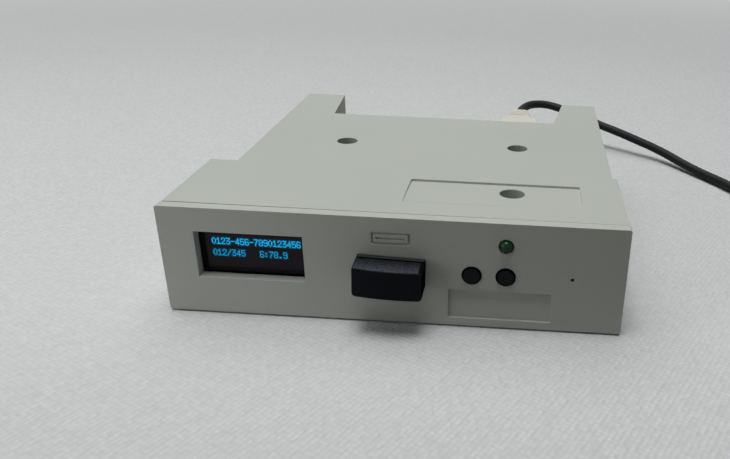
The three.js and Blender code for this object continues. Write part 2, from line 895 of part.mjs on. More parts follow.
function makeHeaders() {
  const bothRowShares = [-1 / 2, 1 / 2]
  const oneRowShares = [0]
  add('data_header', angledHeader(dataHeaderX, dataPinColumns, bothRowShares), blackPlastic)
  add('power_header', angledHeader(powerHeaderX, powerPinCount, oneRowShares), creamPlastic)
  const jumperX = bayLeft + bayLeftMargin + jumperInset + (jumperColumns * pinPitch) / 2
  const jumperY = bodyDepth + jumperSetback + pinPitch
  const barTop = parting + pinBarDepth
  const bar = slab(jumperX, jumperColumns * pinPitch, [jumperY - pinPitch, jumperY + pinPitch], [
    parting,
    barTop
  ])
  const columnX = (column) => jumperX + (column - (jumperColumns - 1) / 2) * pinPitch
  const pins = []
  for (let column = 0; column < jumperColumns; column++) {
    for (const side of [-1, 1]) {
      const y = jumperY + (side * pinPitch) / 2
      pins.push(
        slab(columnX(column), pinSide, [y - pinSide / 2, y + pinSide / 2], [
          barTop - pinSide,
          parting + jumperPinRise
        ])
      )
    }
  }
  add('jumper_header', join(bar, ...pins), blackPlastic)
  jumperCapColumns.forEach((column, at) => {
    const capBottom = barTop + fitGap
    const cap = slab(
      columnX(column),
      pinPitch - fitGap,
      [jumperY - pinPitch, jumperY + pinPitch],
      [capBottom, capBottom + jumperCapHeight]
    )
    const cavities = [-1, 1].map((side) => {
      const y = jumperY + (side * pinPitch) / 2
      return slab(
        columnX(column),
        cavitySide,
        [y - cavitySide / 2, y + cavitySide / 2],
        [capBottom - overrun, parting + jumperPinRise + fitGap]
      )
    })
    add(`jumper_cap_${at + 1}`, cut(cap, ...cavities), blackPlastic)
  })
}

// A block that lies on the board, given by its middle and its size
function onBoard([x, y], [wide, deep, high]) {
  return block([x - wide / 2, y - deep / 2, parting], [x + wide / 2, y + deep / 2, parting + high])
}

function makeBoardParts() {
  const skirt = processorSide + 2 * processorSkirt
  const processorPlace = placed(processorPlaceShares)
  add(
    'processor_chip',
    join(
      onBoard(processorPlace, [processorSide, processorSide, processorThickness]),
      onBoard(processorPlace, [skirt, skirt, processorSkirtThickness])
    ),
    chipBlack
  )
  add('buffer_chip', onBoard(placed(bufferPlaceShares), bufferSize), chipBlack)
  add('voltage_regulator', onBoard(placed(regulatorPlaceShares), regulatorSize), chipBlack)
  const crystalPlace = placed(crystalPlaceShares)
  const [crystalX, crystalY] = crystalPlace
  const canRadius = crystalWidth / 2
  const canReach = (crystalLength - crystalWidth) / 2
  const can = join(
    onBoard(crystalPlace, [crystalLength - crystalWidth, crystalWidth, crystalHeight]),
    ...[-1, 1].map((side) =>
      rodZ(crystalX + side * canReach, crystalY, canRadius, parting, parting + crystalHeight, smallSides)
    )
  )
  add('crystal', can, metalBright)
  for (const [name, share] of [
    ['front', frontCapacitorDepthShare],
    ['rear', rearCapacitorDepthShare]
  ]) {
    const [x, y] = placed([capacitorPlaceShare, share])
    const canTop = parting + capacitorHeight
    add(`capacitor_${name}`, rodZ(x, y, capacitorRadius, parting, canTop, smallSides), metalBright)
  }
}

// A taper between two sections across Y, each given by its half width and half height
function taper(x, z, front, rear, frontHalf, rearHalf) {
  const corners = []
  for (const [y, [wide, high]] of [[front, frontHalf], [rear, rearHalf]]) {
    for (let side = 0; side < smallSides; side++) {
      const angle = (2 * Math.PI * side) / smallSides
      corners.push(x + wide * Math.cos(angle), y, z + high * Math.sin(angle))
    }
  }
  const faces = []
  for (let side = 0; side < smallSides; side++) {
    const next = (side + 1) % smallSides
    faces.push(side, side + smallSides, next, next, side + smallSides, next + smallSides)
    if (side > 1) {
      faces.push(0, side - 1, side)
      faces.push(smallSides, smallSides + side, smallSides + side - 1)
    }
  }
  const geometry = new THREE.BufferGeometry()
  geometry.setAttribute('position', new THREE.Float32BufferAttribute(corners, 3))
  geometry.setIndex(faces.reverse())
  const solid = solidOf(geometry)
  return solid.volume() > 0 ? solid : solidOf(geometry.setIndex(faces.reverse()))
}

const leadRadius = leadDiameter / 2
const powerPlugFront = headerRear + 2 * fitGap
const powerPlugRear = powerPlugFront + powerPlugLength
const powerReliefRear = powerPlugRear + fitGap + powerReliefLength

function makePowerPlug() {
  const heights = (height) => [headerZ - height / 2, headerZ + height / 2]
  const body = slab(
    powerHeaderX,
    powerPlugWidth,
    [powerPlugFront, powerPlugRear],
    heights(powerPlugHeight)
  )
  const cavities = Array.from({ length: powerPinCount }, (unused, at) =>
    slab(
      powerHeaderX + (at - (powerPinCount - 1) / 2) * pinPitch,
      cavitySide,
      [powerPlugFront - overrun, powerPlugFront + cavityDepth],
      heights(cavitySide)
    )
  )
  add('power_plug', cut(body, ...cavities), creamPlastic)
  const rearHalf = leadRadius * reliefRearShare
  add(
    'power_plug_relief',
    taper(
      powerHeaderX,
      headerZ,
      powerPlugRear + fitGap,
      powerReliefRear,
      [powerReliefWidth / 2, powerPlugHeight / 2 - fitGap],
      [rearHalf, rearHalf]
    ),
    creamPlastic
  )
}

function makeLead() {
  const curve = new THREE.CatmullRomCurve3(leadRoute.map((point) => new THREE.Vector3(...point)))
  add('power_lead', tube(curve, leadRadius, leadSides, leadSteps), leadBlack)
  return curve.getLength()
}

const coilHeight = tieThickness + fitGap + leadRadius

// A point on the coil after so many turns: in on the lower layer, up at its middle, out on the upper one
function coilPoint(turns) {
  const inwards = Math.min(turns, coilTurns - turns)
  const radius = coilOuterRadius - coilPitch * inwards
  const climbed = (turns - (coilTurns - coilClimbTurns) / 2) / coilClimbTurns
  const share = THREE.MathUtils.smoothstep(climbed, 0, 1)
  const angle = Math.PI + 2 * Math.PI * turns
  return new THREE.Vector3(
    coilPlace[0] + radius * Math.cos(angle),
    coilPlace[1] + radius * Math.sin(angle),
    coilHeight + coilPitch * share
  )
}

// The least distance between turns of the coil, on points much closer than its steps
function leastCoilGap() {
  const perTurn = 4 * coilStepsPerTurn
  const points = Array.from({ length: coilTurns * perTurn + 1 }, (unused, at) => coilPoint(at / perTurn))
  let least = Infinity
  for (let at = 0; at < points.length; at++) {
    for (let other = at + perTurn / 2; other < points.length; other++) {
      least = Math.min(least, points[at].distanceTo(points[other]))
    }
  }
  return least - leadDiameter
}

function makeCoil() {
  const count = coilTurns * coilStepsPerTurn
  const turning = Array.from({ length: count + 1 }, (unused, at) => coilPoint(at / coilStepsPerTurn))
  const start = turning[0].clone().add(new THREE.Vector3(0, leadDiameter, 0))
  const end = turning[count].clone().add(new THREE.Vector3(0, leadDiameter, 0))
  const curve = new THREE.CatmullRomCurve3([start, ...turning, end], false, 'centripetal')
  curve.arcLengthDivisions = 8 * count
  add('power_lead_coil', tube(curve, leadRadius, coilSides, count + 2), leadBlack)
  console.log(`least gap between the coil's turns ${leastCoilGap().toFixed(2)} mm`)
  return { end, length: curve.getLength() }
}

// A band round both layers where the coil's turns lie at their rear
function makeTie() {
  const [x, y] = coilPlace
  const innerRadius = coilOuterRadius - (coilTurns / 2) * coilPitch
  const innerReach = Math.sqrt(innerRadius ** 2 - (tieWidth / 2) ** 2)
  const clear = leadRadius + fitGap
  const low = [x - tieWidth / 2, y + innerReach - clear, coilHeight - clear]
  const high = [x + tieWidth / 2, y + coilOuterRadius + clear, coilHeight + coilPitch + clear]
  const grow = (corner, side) => [corner[0], corner[1] + side * tieThickness, corner[2] + side * tieThickness]
  const inner = block([low[0] - overrun, low[1], low[2]], [high[0] + overrun, high[1], high[2]])
  add('coil_tie', cut(block(grow(low, -1), grow(high, 1)), inner), blackPlastic)
}

function makeFarPlug(coilEnd) {
  const z = farBodyHeight / 2
  const x = coilEnd.x
  const front = coilEnd.y + fitGap
  const rear = front + tailLength
  const level = new THREE.Vector3(x, front, coilEnd.z)
  const landed = new THREE.Vector3(x, rear, z)
  const reach = new THREE.Vector3(0, tailLength / 2, 0)
  const leaving = level.clone().add(reach)
  const arriving = landed.clone().sub(reach)
  const curve = new THREE.CubicBezierCurve3(level, leaving, arriving, landed)
  add('power_lead_tail', tube(curve, leadRadius, leadSides, tailSteps), leadBlack)
  const reliefFront = rear + fitGap
  const reliefRear = reliefFront + farReliefLength
  const frontHalf = leadRadius * reliefRearShare
  add(
    'far_plug_relief',
    taper(x, z, reliefFront, reliefRear, [frontHalf, frontHalf], [farReliefRadius, farReliefRadius]),
    leadBlack
  )
  const bodyFront = reliefRear + fitGap
  const bodyRear = bodyFront + farBodyLength
  const half = farBodyWidth / 2
  const plan = [
    [x - half + farBodyCorner, bodyFront],
    [x + half - farBodyCorner, bodyFront],
    [x + half, bodyFront + farBodyCorner],
    [x + half, bodyRear],
    [x - half, bodyRear],
    [x - half, bodyFront + farBodyCorner]
  ]
  const body = prism(plan, 0, farBodyHeight)
  add('far_plug_body', cut(body, plugPocketCut(x, z, bodyRear)), leadBlack)
  add('far_plug_shell', plugSleeve(x, z, bodyRear), metalBright)
  add('far_plug_insulator', plugInsulator(x, z, bodyRear), chipBlack)
  return curve.getLength()
}

makeBezel()
makeTopCover()
makeBottomCover()
makeCaseScrews()
makeMainBoard()
makeDisplay()
makeDisplayWires()
makeSocket()
makeStick()
makeButtons()
makeLamp()
makeHeaders()
makeBoardParts()
makePowerPlug()
const leadLength = makeLead()
const coil = makeCoil()
makeTie()
const tailRun = makeFarPlug(coil.end)
console.log(`length of the lead ${(leadLength + coil.length + tailRun).toFixed(0)} mm`)

// The origin is under the middle of the drive with its stick
drive.position.set(0, -(caseDepth - stickReach) / 2, 0)
const whole = new THREE.Group()
whole.add(drive)

export default whole
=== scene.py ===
import json
import math

import bmesh
import bpy
from bpy.props import FloatProperty, FloatVectorProperty, PointerProperty, StringProperty
from bpy.types import Operator, Panel, PropertyGroup
from mathutils import Matrix, Vector
from mathutils.geometry import interpolate_bezier

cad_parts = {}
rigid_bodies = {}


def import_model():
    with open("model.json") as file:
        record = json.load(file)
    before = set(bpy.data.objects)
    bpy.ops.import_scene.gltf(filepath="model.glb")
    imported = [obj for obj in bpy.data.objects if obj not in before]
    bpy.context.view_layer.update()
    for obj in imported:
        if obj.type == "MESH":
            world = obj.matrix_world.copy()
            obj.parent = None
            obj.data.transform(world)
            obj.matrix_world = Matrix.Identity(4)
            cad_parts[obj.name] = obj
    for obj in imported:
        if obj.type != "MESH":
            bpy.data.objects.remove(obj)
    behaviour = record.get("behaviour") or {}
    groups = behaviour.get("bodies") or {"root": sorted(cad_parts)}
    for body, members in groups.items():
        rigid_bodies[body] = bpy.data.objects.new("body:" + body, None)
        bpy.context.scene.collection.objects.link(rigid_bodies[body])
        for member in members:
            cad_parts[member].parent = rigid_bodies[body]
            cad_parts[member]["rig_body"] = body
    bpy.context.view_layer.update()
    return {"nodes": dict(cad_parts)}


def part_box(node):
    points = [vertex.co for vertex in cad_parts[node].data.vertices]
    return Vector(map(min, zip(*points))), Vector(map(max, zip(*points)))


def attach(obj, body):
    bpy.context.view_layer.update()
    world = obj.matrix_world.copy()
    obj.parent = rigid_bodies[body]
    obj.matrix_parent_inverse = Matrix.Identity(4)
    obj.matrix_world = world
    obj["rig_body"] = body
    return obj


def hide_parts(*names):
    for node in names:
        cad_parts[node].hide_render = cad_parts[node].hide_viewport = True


bl_info = {
    "name": "Floppy drive emulator",
    "version": (1, 0, 0),
    "blender": (4, 5, 0),
    "location": "3D View > Sidebar > Drive",
    "description": "Dresses the packed drive: case, display, buttons, lamp, stick, board and power lead",
    "category": "Object",
}

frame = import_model()

MM = 0.001

# Distance within which two places are one
TINY = 0.002 * MM

FLAT_ANGLE = math.radians(1)
CREASE_ANGLE = math.radians(35)
TURNED_CREASE_ANGLE = math.radians(50)
TURNED_SIDES = 48

# Shares of a normal along an axis: a face looks along it over the first two, and aside under the third
SQUARELY = 0.95
FACING = 0.9
ASIDE = 0.5

# How near an outer face its features lie, and the length over which an edge is long
NEAR_FACE = 1 * MM
LONG_EDGE = 1 * MM

# Turn of a flat form that is to stand upright across Y
UPRIGHT = (math.pi / 2, 0, 0)

# The bezel's face along Y
FACE_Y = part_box("front_bezel")[0].y

# Camera, fitted to the photograph
CAMERA_PLACE = (27.187 * MM, FACE_Y - 141.918 * MM, 90.06 * MM)
CAMERA_YAW = math.radians(-2.45)
CAMERA_PITCH = math.radians(-24.955)
CAMERA_ROLL = math.radians(1.995)
CAMERA_NEAREST = 0.01
CAMERA_FARTHEST = 20
FOCAL_PIXELS = 746.564
PHOTO_WIDTH = 730
MIDDLE_PIXEL = 490
SENSOR_WIDTH = 36

# Floor, in metres: a shade is the share of light that is lost
FLOOR_SIZE = 8
FLOOR_DROP = 0.45 * MM
FLOOR_FADE_REACH = (0.22, 0.65)
FLOOR_REAR_REACH = (0.1, 0.3)
FLOOR_REAR_SHADE = 0.08
FLOOR_FRONT_REACH = (-0.045, -0.1)
FLOOR_FRONT_SHADE = 0.07
FLOOR_BOUNCE_PLACE = (0.06, -0.17, 0)
FLOOR_BOUNCE_STRETCH = (0.95, 1, 1)
FLOOR_BOUNCE_REACH = (0.145, 0.085)
FLOOR_BOUNCE_SHADE = 0.95
WEAVE_PITCH = 1.15 * MM
WEAVE_REACH = (0.1, 0.6)
WEAVE_SHADE = 0.2
WEAVE_UNEVENNESS = 0.3
WEAVE_DEPTH = 0.6 * MM
WEAVE_TURN = math.radians(28)

# Lamps: place and size, in metres
LAMPS = {
    "softbox": ((-0.2, 0.35, 1.2), 1.4),
    "key_lamp": ((0, -0.13, 1), 0.4),
    "side_lamp": ((-0.31, -0.2, 0.15), 0.3),
}

# Noise over which a finish goes from one end of its range to the other
NOISE_REACH = (0.3, 0.7)

# Plastics: tone, roughness, size and depth of the grain in millimetres, size of the mottle in millimetres,
# its change of tone, gleam and bending of light. The case's two take their colours from the settings.
PLASTICS = {
    "case_shell": (None, 0.62, 0.35, 0.012, 50, 0.03, 0.4),
    "bezel_satin": (None, 0.6, 0.35, 0.01, 50, 0.03, 0.3),
    "plain_black": ((24, 25, 28), 0.5, 0.2, 0.006, 10, 0.15),
    "chip_plastic": ((38, 39, 42), 0.66, 0.12, 0.01, 8, 0.12),
    "warm_cream": ((208, 205, 194), 0.45, 0.3, 0.008, 10, 0.05),
    "button_satin": ((17, 18, 21), 0.35, 0.2, 0.004, 4, 0.15, 0.3, 1.25),
    # The buttons' sides and rounding are painted near black, as painted shade for the shadowed gap round each
    # button
    "button_sides": ((5, 5, 6), 0.9, 0.2, 0.004, 4, 0.15, 0.0),
    "lead_sleeve": ((13, 15, 17), 0.5, 0.4, 0.01, 12, 0.2, 0.2),
    "board_edge": ((160, 148, 84), 0.7, 0.2, 0.02, 4, 0.1),
    "stick_gloss": ((14, 16, 23), 0.3, 1.5, 0.01, 6, 0.1, 0.3, 1.2),
    "stick_sides": ((13, 15, 18), 0.9, 0.3, 0.01, 6, 0.1, 0.0),
    "stick_rim": ((34, 36, 38), 0.5, 0.3, 0.01, 6, 0.1, 0.3),
    "thin_wire_sleeve": ((60, 72, 88), 0.45, 0.4, 0.01, 6, 0.15),
}

# Metals: tone, roughness and stretch of the drawn lines
METALS = {
    "drawn_steel": ((196, 198, 200), 0.32, (4, 4, 4)),
    "plug_nickel": ((206, 207, 205), 0.24, (1, 30, 30)),
    "pin_gold": ((214, 178, 104), 0.28, (8, 8, 8)),
}

# Lead: its free stretch from the strain relief to the coil, from the bezel's face, in millimetres
LEAD_ROUTE = (
    (25.3, 125.7, 12.14), (25.3, 129.6, 12.3), (26.5, 134.6, 12.7),
    (29.8, 139.2, 13), (35, 141, 12.7), (41.5, 139.4, 11.6),
    (49, 136, 9.8), (56.4, 132.4, 7.9), (61.9, 129.3, 6.8),
    (68, 125.3, 5.5), (74.2, 121.2, 4.1), (78.2, 117.5, 3.2),
    (82, 112.7, 2.4), (85.7, 107.5, 1.8), (90, 101.3, 1.5),
    (93.1, 96.6, 1.5), (95.9, 91.8, 1.5), (99.3, 85.2, 1.6),
    (101.6, 77.8, 1.9), (102.8, 70.4, 2.2), (103.1, 66.8, 2.4),
    (103.1, 63.3, 2.4),
)
ROUTE_STEPS = 8
LEAD_ROUNDNESS = 4

# Coil of the lead and the tail after it, in metres and turns
COIL_MIDDLE = (0.1275, 0.060)
COIL_RADIUS = 0.0244
COIL_PITCH = 0.0035
COIL_TURNS = 7.5
COIL_CLIMB_TURNS = 0.5
COIL_HEIGHT = 0.0024
COIL_STEPS = 64
COIL_END_RUN = 0.003
TAIL_GAP = 0.0003
TAIL_LENGTH = 0.021
TAIL_END_HEIGHT = 0.004
TAIL_STEPS = 16

# Strain relief at the far plug: places along one of its ribs, and whether they are sunk
FAR_RELIEF_RIBS = 6
FAR_RELIEF_RIB = ((0, False), (0.55, False), (0.65, True), (0.9, True))
FAR_RELIEF_RIB_DEPTH = 0.35 * MM
FAR_RELIEF_TIP = 0.72

# Strain relief at the drive: its nose goes by shares of its length and of the width before
RELIEF_FOOT = 1.45
RELIEF_CORNER = 1.4 * MM
RELIEF_NOSE = 1.6 * MM
RELIEF_NOSE_STEPS = ((0.6, 0.93), (0.3, 0.82), (0.1, 0.64))
RELIEF_TAPER = 0.88
RELIEF_GROOVE = 0.6 * MM
RELIEF_GROOVES = (0.3, 0.48, 0.66)
RELIEF_EDGE = 0.1 * MM

# Case
BEZEL_FINE_EDGE = 0.08 * MM
LABEL_SPARE_DEPTH = 0.25 * MM
LAMP_HOLE_SHARE = 0.93
LAMP_HOLE_MARGIN = 0.25 * MM
SEAM_SHIFT = 0.2 * MM
TOP_LABEL_RAISE = 0.15 * MM
TOP_LABEL_TILT = math.radians(1.5)
WELL_REACH = 3 * MM
WELL_RIM_SHARE = 1.085
WELL_RIM_SHIFT = 0.5 * MM

# Headers on the board
PIN_REACH = 6 * MM
BAR_DEPTH = 2.5 * MM
JUMPER_BAR_HEIGHT = 2.5 * MM
HEADER_EDGE = 0.06 * MM

# Buttons: the shallow dish in a face goes by depths and shares of its flat part
BUTTON_FLANGE = 1 * MM
BUTTON_FLANGE_REACH = 0.25 * MM
BUTTON_STEPS = 6
BUTTON_DISH = ((0.03 * MM, 0.8), (0.07 * MM, 0.4), (0.08 * MM, 0.02))
FLANGE_SLOPE = 1.02

# Lamp
LAMP_COLLAR = 1 * MM
LAMP_COLLAR_REACH = 0.4 * MM
LAMP_COLLAR_EDGE = 0.1 * MM
LAMP_STEPS = 12
LAMP_TIP_ANGLE = math.radians(2)
LAMP_DOME_ANGLE = math.radians(88)

# Stick
STICK_CREASE_ANGLE = math.radians(30)
STICK_RIM = 1 * MM
STICK_GROOVE = 0.5 * MM
STICK_GROOVE_DEPTH = 0.35 * MM
STICK_TOP_FALL = 0.6 * MM
STICK_CORNER = 0.8 * MM
STICK_TOP_CORNER = 0.4 * MM
STICK_FRONT_EDGE = 0.25 * MM
STICK_DARK_STRIP = 0.9 * MM
STICK_BARREL_SIDES = 512
STICK_POCKET_GAP = 0.3 * MM
STICK_POCKET_DEPTH = 3.3 * MM

# Dots of the display's characters, in rows from the top
CHARACTER_DOTS = {
    "0": "..#.. .#.#. #...# #...# #...# #...# #...# .#.#. ..#..",
    "1": "..#.. .##.. #.#.. ..#.. ..#.. ..#.. ..#.. ..#.. #####",
    "2": ".###. #...# #...# ....# ...#. ..#.. .#... #.... #####",
    "3": "##### ....# ...#. ..#.. .###. ....# ....# #...# .###.",
    "4": "...#. ...#. ..##. .#.#. .#.#. #..#. ##### ...#. ...#.",
    "5": "##### #.... #.... #.##. ##..# ....# ....# #...# .###.",
    "6": ".###. #...# #.... #.... ####. #...# #...# #...# .###.",
    "7": "##### ....# ...#. ...#. ..#.. ..#.. .#... .#... .#...",
    "8": ".###. #...# #...# #...# .###. #...# #...# #...# .###.",
    "9": ".###. #...# #...# #...# .#### ....# ....# #...# .###.",
    "-": "..... ..... ..... ..... ##### ..... ..... ..... .....",
    "/": "....# ....# ...#. ...#. ..#.. .#... .#... #.... #....",
    ":": "..... ..... .##.. .##.. ..... ..... .##.. .##.. .....",
    ".": "..... ..... ..... ..... ..... ..... ..... .##.. .##..",
}
CHARACTER_STEP = 6
ROW_STEP = 16
TEXT_LEFT = -40.3 * MM
TEXT_TOP = 17.25 * MM
ROW_LEVELS = {"first_row": 1, "second_row": 0.7}

# Layers of each row: distance before the glass, size of a dot in pitches and level of light
ROW_LAYERS = {
    "digits": (0.03 * MM, 0.86, 1),
    "near_glow": (0.02 * MM, 2.2, 0.16),
    "far_glow": (0.01 * MM, 4.2, 0.045),
}


def tone(red, green, blue):
    """A colour written from 0 to 255, as screens have it, in linear values."""
    shares = [value / 255 for value in (red, green, blue)]
    return tuple(
        share / 12.92 if share <= 0.04045 else ((share + 0.055) / 1.055) ** 2.4 for share in shares
    )


# Finishes

def feed(step, inputs):
    """Gives a node's sockets their values, or links them to other nodes' outputs."""
    for name, value in inputs.items():
        socket = step.inputs[name]
        if isinstance(value, bpy.types.NodeSocket):
            step.id_data.links.new(value, socket)
        else:
            socket.default_value = value


def add_step(shader, kind, inputs=(), **settings):
    """A node beside a shader, with its settings and with what goes into its sockets."""
    step = shader.id_data.nodes.new(kind)
    for name, value in settings.items():
        setattr(step, name, value)
    feed(step, dict(inputs))
    return step


def combine(shader, operation, first, second):
    """Two values worked into one."""
    return add_step(shader, "ShaderNodeMath", {0: first, 1: second}, operation=operation).outputs["Value"]


def ranged(shader, value, reach, low, high, **settings):
    """A value that goes from low to high while another goes over its reach."""
    inputs = {"Value": value, "From Min": reach[0], "From Max": reach[1], "To Min": low, "To Max": high}
    return add_step(shader, "ShaderNodeMapRange", inputs, **settings).outputs["Result"]


def mix_surface(shader, other, share, output):
    """Sends two shaders to an output's surface, mixed by a share."""
    inputs = {"Fac": share, 1: shader.outputs[0], 2: other.outputs[0]}
    both = add_step(shader, "ShaderNodeMixShader", inputs)
    feed(shader.id_data.nodes[output], {"Surface": both.outputs["Shader"]})


def object_place(shader, stretch=(1, 1, 1), turn=(0, 0, 0)):
    """The piece's own coordinates, stretched and turned."""
    own = add_step(shader, "ShaderNodeTexCoord").outputs["Object"]
    inputs = {"Vector": own, "Scale": stretch, "Rotation": turn}
    return add_step(shader, "ShaderNodeMapping", inputs).outputs["Vector"]


def place_along_y(shader):
    return add_step(shader, "ShaderNodeSeparateXYZ", {"Vector": object_place(shader)}).outputs["Y"]


def distance_to(shader, middle, stretch=(1, 1, 1)):
    """How far a place is from a middle, both in stretched coordinates."""
    ends = {0: object_place(shader, stretch), 1: middle}
    return add_step(shader, "ShaderNodeVectorMath", ends, operation="DISTANCE").outputs["Value"]


def seen_rays(shader):
    """1 for what the camera, gloss and glass see, and 0 for light."""
    path = add_step(shader, "ShaderNodeLightPath")
    share = path.outputs["Is Camera Ray"]
    for ray in ("Is Glossy Ray", "Is Transmission Ray"):
        share = combine(shader, "MAXIMUM", share, path.outputs[ray])
    return share


def noise(shader, size, detail=2.0, stretch=(1, 1, 1)):
    """Noise whose spots are about size across."""
    inputs = {"Vector": object_place(shader, stretch), "Scale": 1 / size, "Detail": detail}
    return add_step(shader, "ShaderNodeTexNoise", inputs).outputs["Fac"]


def scaled(colour, share):
    return tuple(value * share for value in colour)


def tint(shader, share, low, high, reach=NOISE_REACH):
    """The base colour between two tones, by a share."""
    ramp = add_step(shader, "ShaderNodeValToRGB", {"Fac": share})
    for element, place, colour in zip(ramp.color_ramp.elements, reach, (low, high)):
        element.position = place
        element.color = (*colour, 1)
    feed(shader, {"Base Color": ramp.outputs["Color"]})


def spread(shader, share, low, high, socket="Roughness"):
    """Feeds a socket with a value between low and high, by a share of noise."""
    feed(shader, {socket: ranged(shader, share, NOISE_REACH, low, high)})


def relief(shader, height, depth, sunk=False):
    """A fine relief, raised or sunk where the height is large."""
    inputs = {"Height": height, "Distance": depth, "Strength": 1}
    bump = add_step(shader, "ShaderNodeBump", inputs, invert=sunk)
    feed(shader, {"Normal": bump.outputs["Normal"]})


def finish_of(name, make, *settings):
    """The finish of that name, made once on its own shader."""
    finish = bpy.data.materials.get(name)
    if not finish:
        finish = bpy.data.materials.new(name)
        finish.use_nodes = True
        make(finish.node_tree.nodes["Principled BSDF"], *settings)
    return finish


def plain(name, colour=None):
    """A plastic or a metal of the tables above, in a colour of the settings or in its own tone."""
    make, table = (make_metal, METALS) if name in METALS else (make_plastic, PLASTICS)
    own, *settings = table[name]
    return finish_of(name, make, tuple(colour or tone(*own)), *settings)


def make_plastic(shader, colour, roughness, grain, depth, mottle, change, gleam=0.5, bending=1.5):
    """A moulded plastic: fine grain, a slow change of tone and an uneven gloss."""
    feed(shader, {"Roughness": roughness, "Specular IOR Level": gleam, "IOR": bending})
    slow = noise(shader, mottle * MM, detail=3)
    tint(shader, slow, scaled(colour, 1 - change), scaled(colour, 1 + change))
    spread(shader, slow, roughness * 0.92, min(1, roughness * 1.08))
    relief(shader, noise(shader, grain * MM, detail=1), depth * MM)


def make_metal(shader, colour, roughness, stretch):
    """A bright metal with fine drawn lines."""
    feed(shader, {"Roughness": roughness, "Metallic": 1})
    lines = noise(shader, 4 * MM, detail=4, stretch=stretch)
    tint(shader, lines, scaled(colour, 0.9), colour)
    spread(shader, lines, roughness * 0.8, roughness * 1.25)
    relief(shader, lines, 0.002 * MM)


def make_board_green(shader):
    """Green mask over lines of copper, with a soft gloss."""
    feed(shader, {"Roughness": 0.38, "Coat Weight": 0.4})
    inputs = {
        "Vector": object_place(shader),
        "Color1": (*tone(24, 84, 50), 1),
        "Color2": (*tone(20, 74, 44), 1),
        "Mortar": (*tone(54, 120, 70), 1),
        "Scale": 1 / (10 * MM),
        "Mortar Size": 0.012,
        "Mortar Smooth": 0.2,
        "Brick Width": 0.9,
        "Row Height": 0.127,
    }
    tracks = add_step(shader, "ShaderNodeTexBrick", inputs)
    feed(shader, {"Base Color": tracks.outputs["Color"]})
    spread(shader, noise(shader, 10 * MM), 0.32, 0.45)
    relief(shader, tracks.outputs["Fac"], 0.02 * MM)


def make_screen_glass(shader):
    """Dark glass over the display's panel."""
    feed(shader, {"Roughness": 0.1, "Specular IOR Level": 0.15})
    tint(shader, noise(shader, 20 * MM), tone(24, 18, 24), tone(34, 24, 32))
    spread(shader, noise(shader, 4 * MM), 0.07, 0.13)


def make_lit_dot(shader, colour, strength):
    """Light of the display's dots, a little uneven from dot to dot."""
    feed(shader, {"Roughness": 0.3, "Specular IOR Level": 0.15})
    feed(shader, {"Base Color": (*tone(16, 14, 22), 1), "Emission Color": (*colour, 1)})
    spread(shader, noise(shader, 0.6 * MM), 0.75 * strength, strength, "Emission Strength")


def make_lamp_green(shader, colour):
    """Green resin with a clear gloss and a cloudy inside."""
    feed(shader, {"Roughness": 0.06, "Specular IOR Level": 0.15})
    feed(shader, {"Coat Weight": 0.15, "Coat Roughness": 0.04})
    cloud = noise(shader, 1.2 * MM)
    tint(shader, cloud, scaled(colour, 0.35), colour)
    spread(shader, cloud, 0.05, 0.12)


def make_stick_speckle_and_sheen(shader, colour, grain, front, rear):
    """The stick's speckled top, with a painted sheen that makes it lighter at its front and darker towards
    its groove.
    """
    feed(shader, {"Roughness": 0.6, "Specular IOR Level": 0.15})
    speckle = noise(shader, grain)
    # Painted sheen: the top's tone falls from its front towards its groove
    painted_front_sheen = ranged(shader, place_along_y(shader), (rear, front), 0.3, 1)
    lit = combine(shader, "MULTIPLY", speckle, painted_front_sheen)
    tint(shader, lit, scaled(colour, 0.03), colour, (0.2, 0.62))
    relief(shader, speckle, 0.12 * MM)


def make_woven_floor(shader, colour, backdrop):
    """Pale woven cloth with painted shade in the weave's hollows, to the rear and to the front, that fades
    into the backdrop far away.

    In front of the drive, most of all to its right, it throws less light up than what it shows.
    """
    feed(shader, {"Roughness": 0.9, "Specular IOR Level": 0.2})
    inputs = {
        "Vector": object_place(shader, turn=(0, 0, WEAVE_TURN)),
        "Scale": 1 / WEAVE_PITCH,
        "Randomness": WEAVE_UNEVENNESS,
    }
    knots = add_step(shader, "ShaderNodeTexVoronoi", inputs, feature="SMOOTH_F1").outputs["Distance"]
    along_y = place_along_y(shader)
    seen = seen_rays(shader)
    bounce_distance = distance_to(shader, FLOOR_BOUNCE_PLACE, FLOOR_BOUNCE_STRETCH)
    thrown = ranged(shader, bounce_distance, FLOOR_BOUNCE_REACH, 1, 1 - FLOOR_BOUNCE_SHADE)
    light = combine(shader, "MAXIMUM", thrown, seen)
    # Painted shade: darker in the weave's hollows, to the rear and to the front
    for source, reach, loss in (
        (knots, WEAVE_REACH, WEAVE_SHADE),
        (along_y, FLOOR_REAR_REACH, FLOOR_REAR_SHADE),
        (along_y, FLOOR_FRONT_REACH, FLOOR_FRONT_SHADE),
    ):
        light = combine(shader, "MULTIPLY", light, ranged(shader, source, reach, 1, 1 - loss))
    tint(shader, light, (0, 0, 0), colour, (0, 1))
    relief(shader, knots, WEAVE_DEPTH, sunk=True)
    distance = distance_to(shader, (0, 0, 0))
    far = ranged(shader, distance, FLOOR_FADE_REACH, 0, 1, interpolation_type="SMOOTHSTEP")
    pale = add_step(shader, "ShaderNodeEmission", {"Color": (*backdrop, 1)})
    mix_surface(shader, pale, combine(shader, "MULTIPLY", far, seen), "Material Output")


# Modelling steps

def pick(*pieces):
    """Selects only these pieces."""
    if bpy.context.mode != "OBJECT":
        bpy.ops.object.mode_set(mode="OBJECT")
    bpy.ops.object.select_all(action="DESELECT")
    for piece in pieces:
        piece.select_set(True)
    bpy.context.view_layer.objects.active = pieces[-1] if pieces else None


def settle(piece):
    """Moves a piece's place, turn and size into its mesh."""
    pick(piece)
    bpy.ops.object.transform_apply(location=True, rotation=True, scale=True)


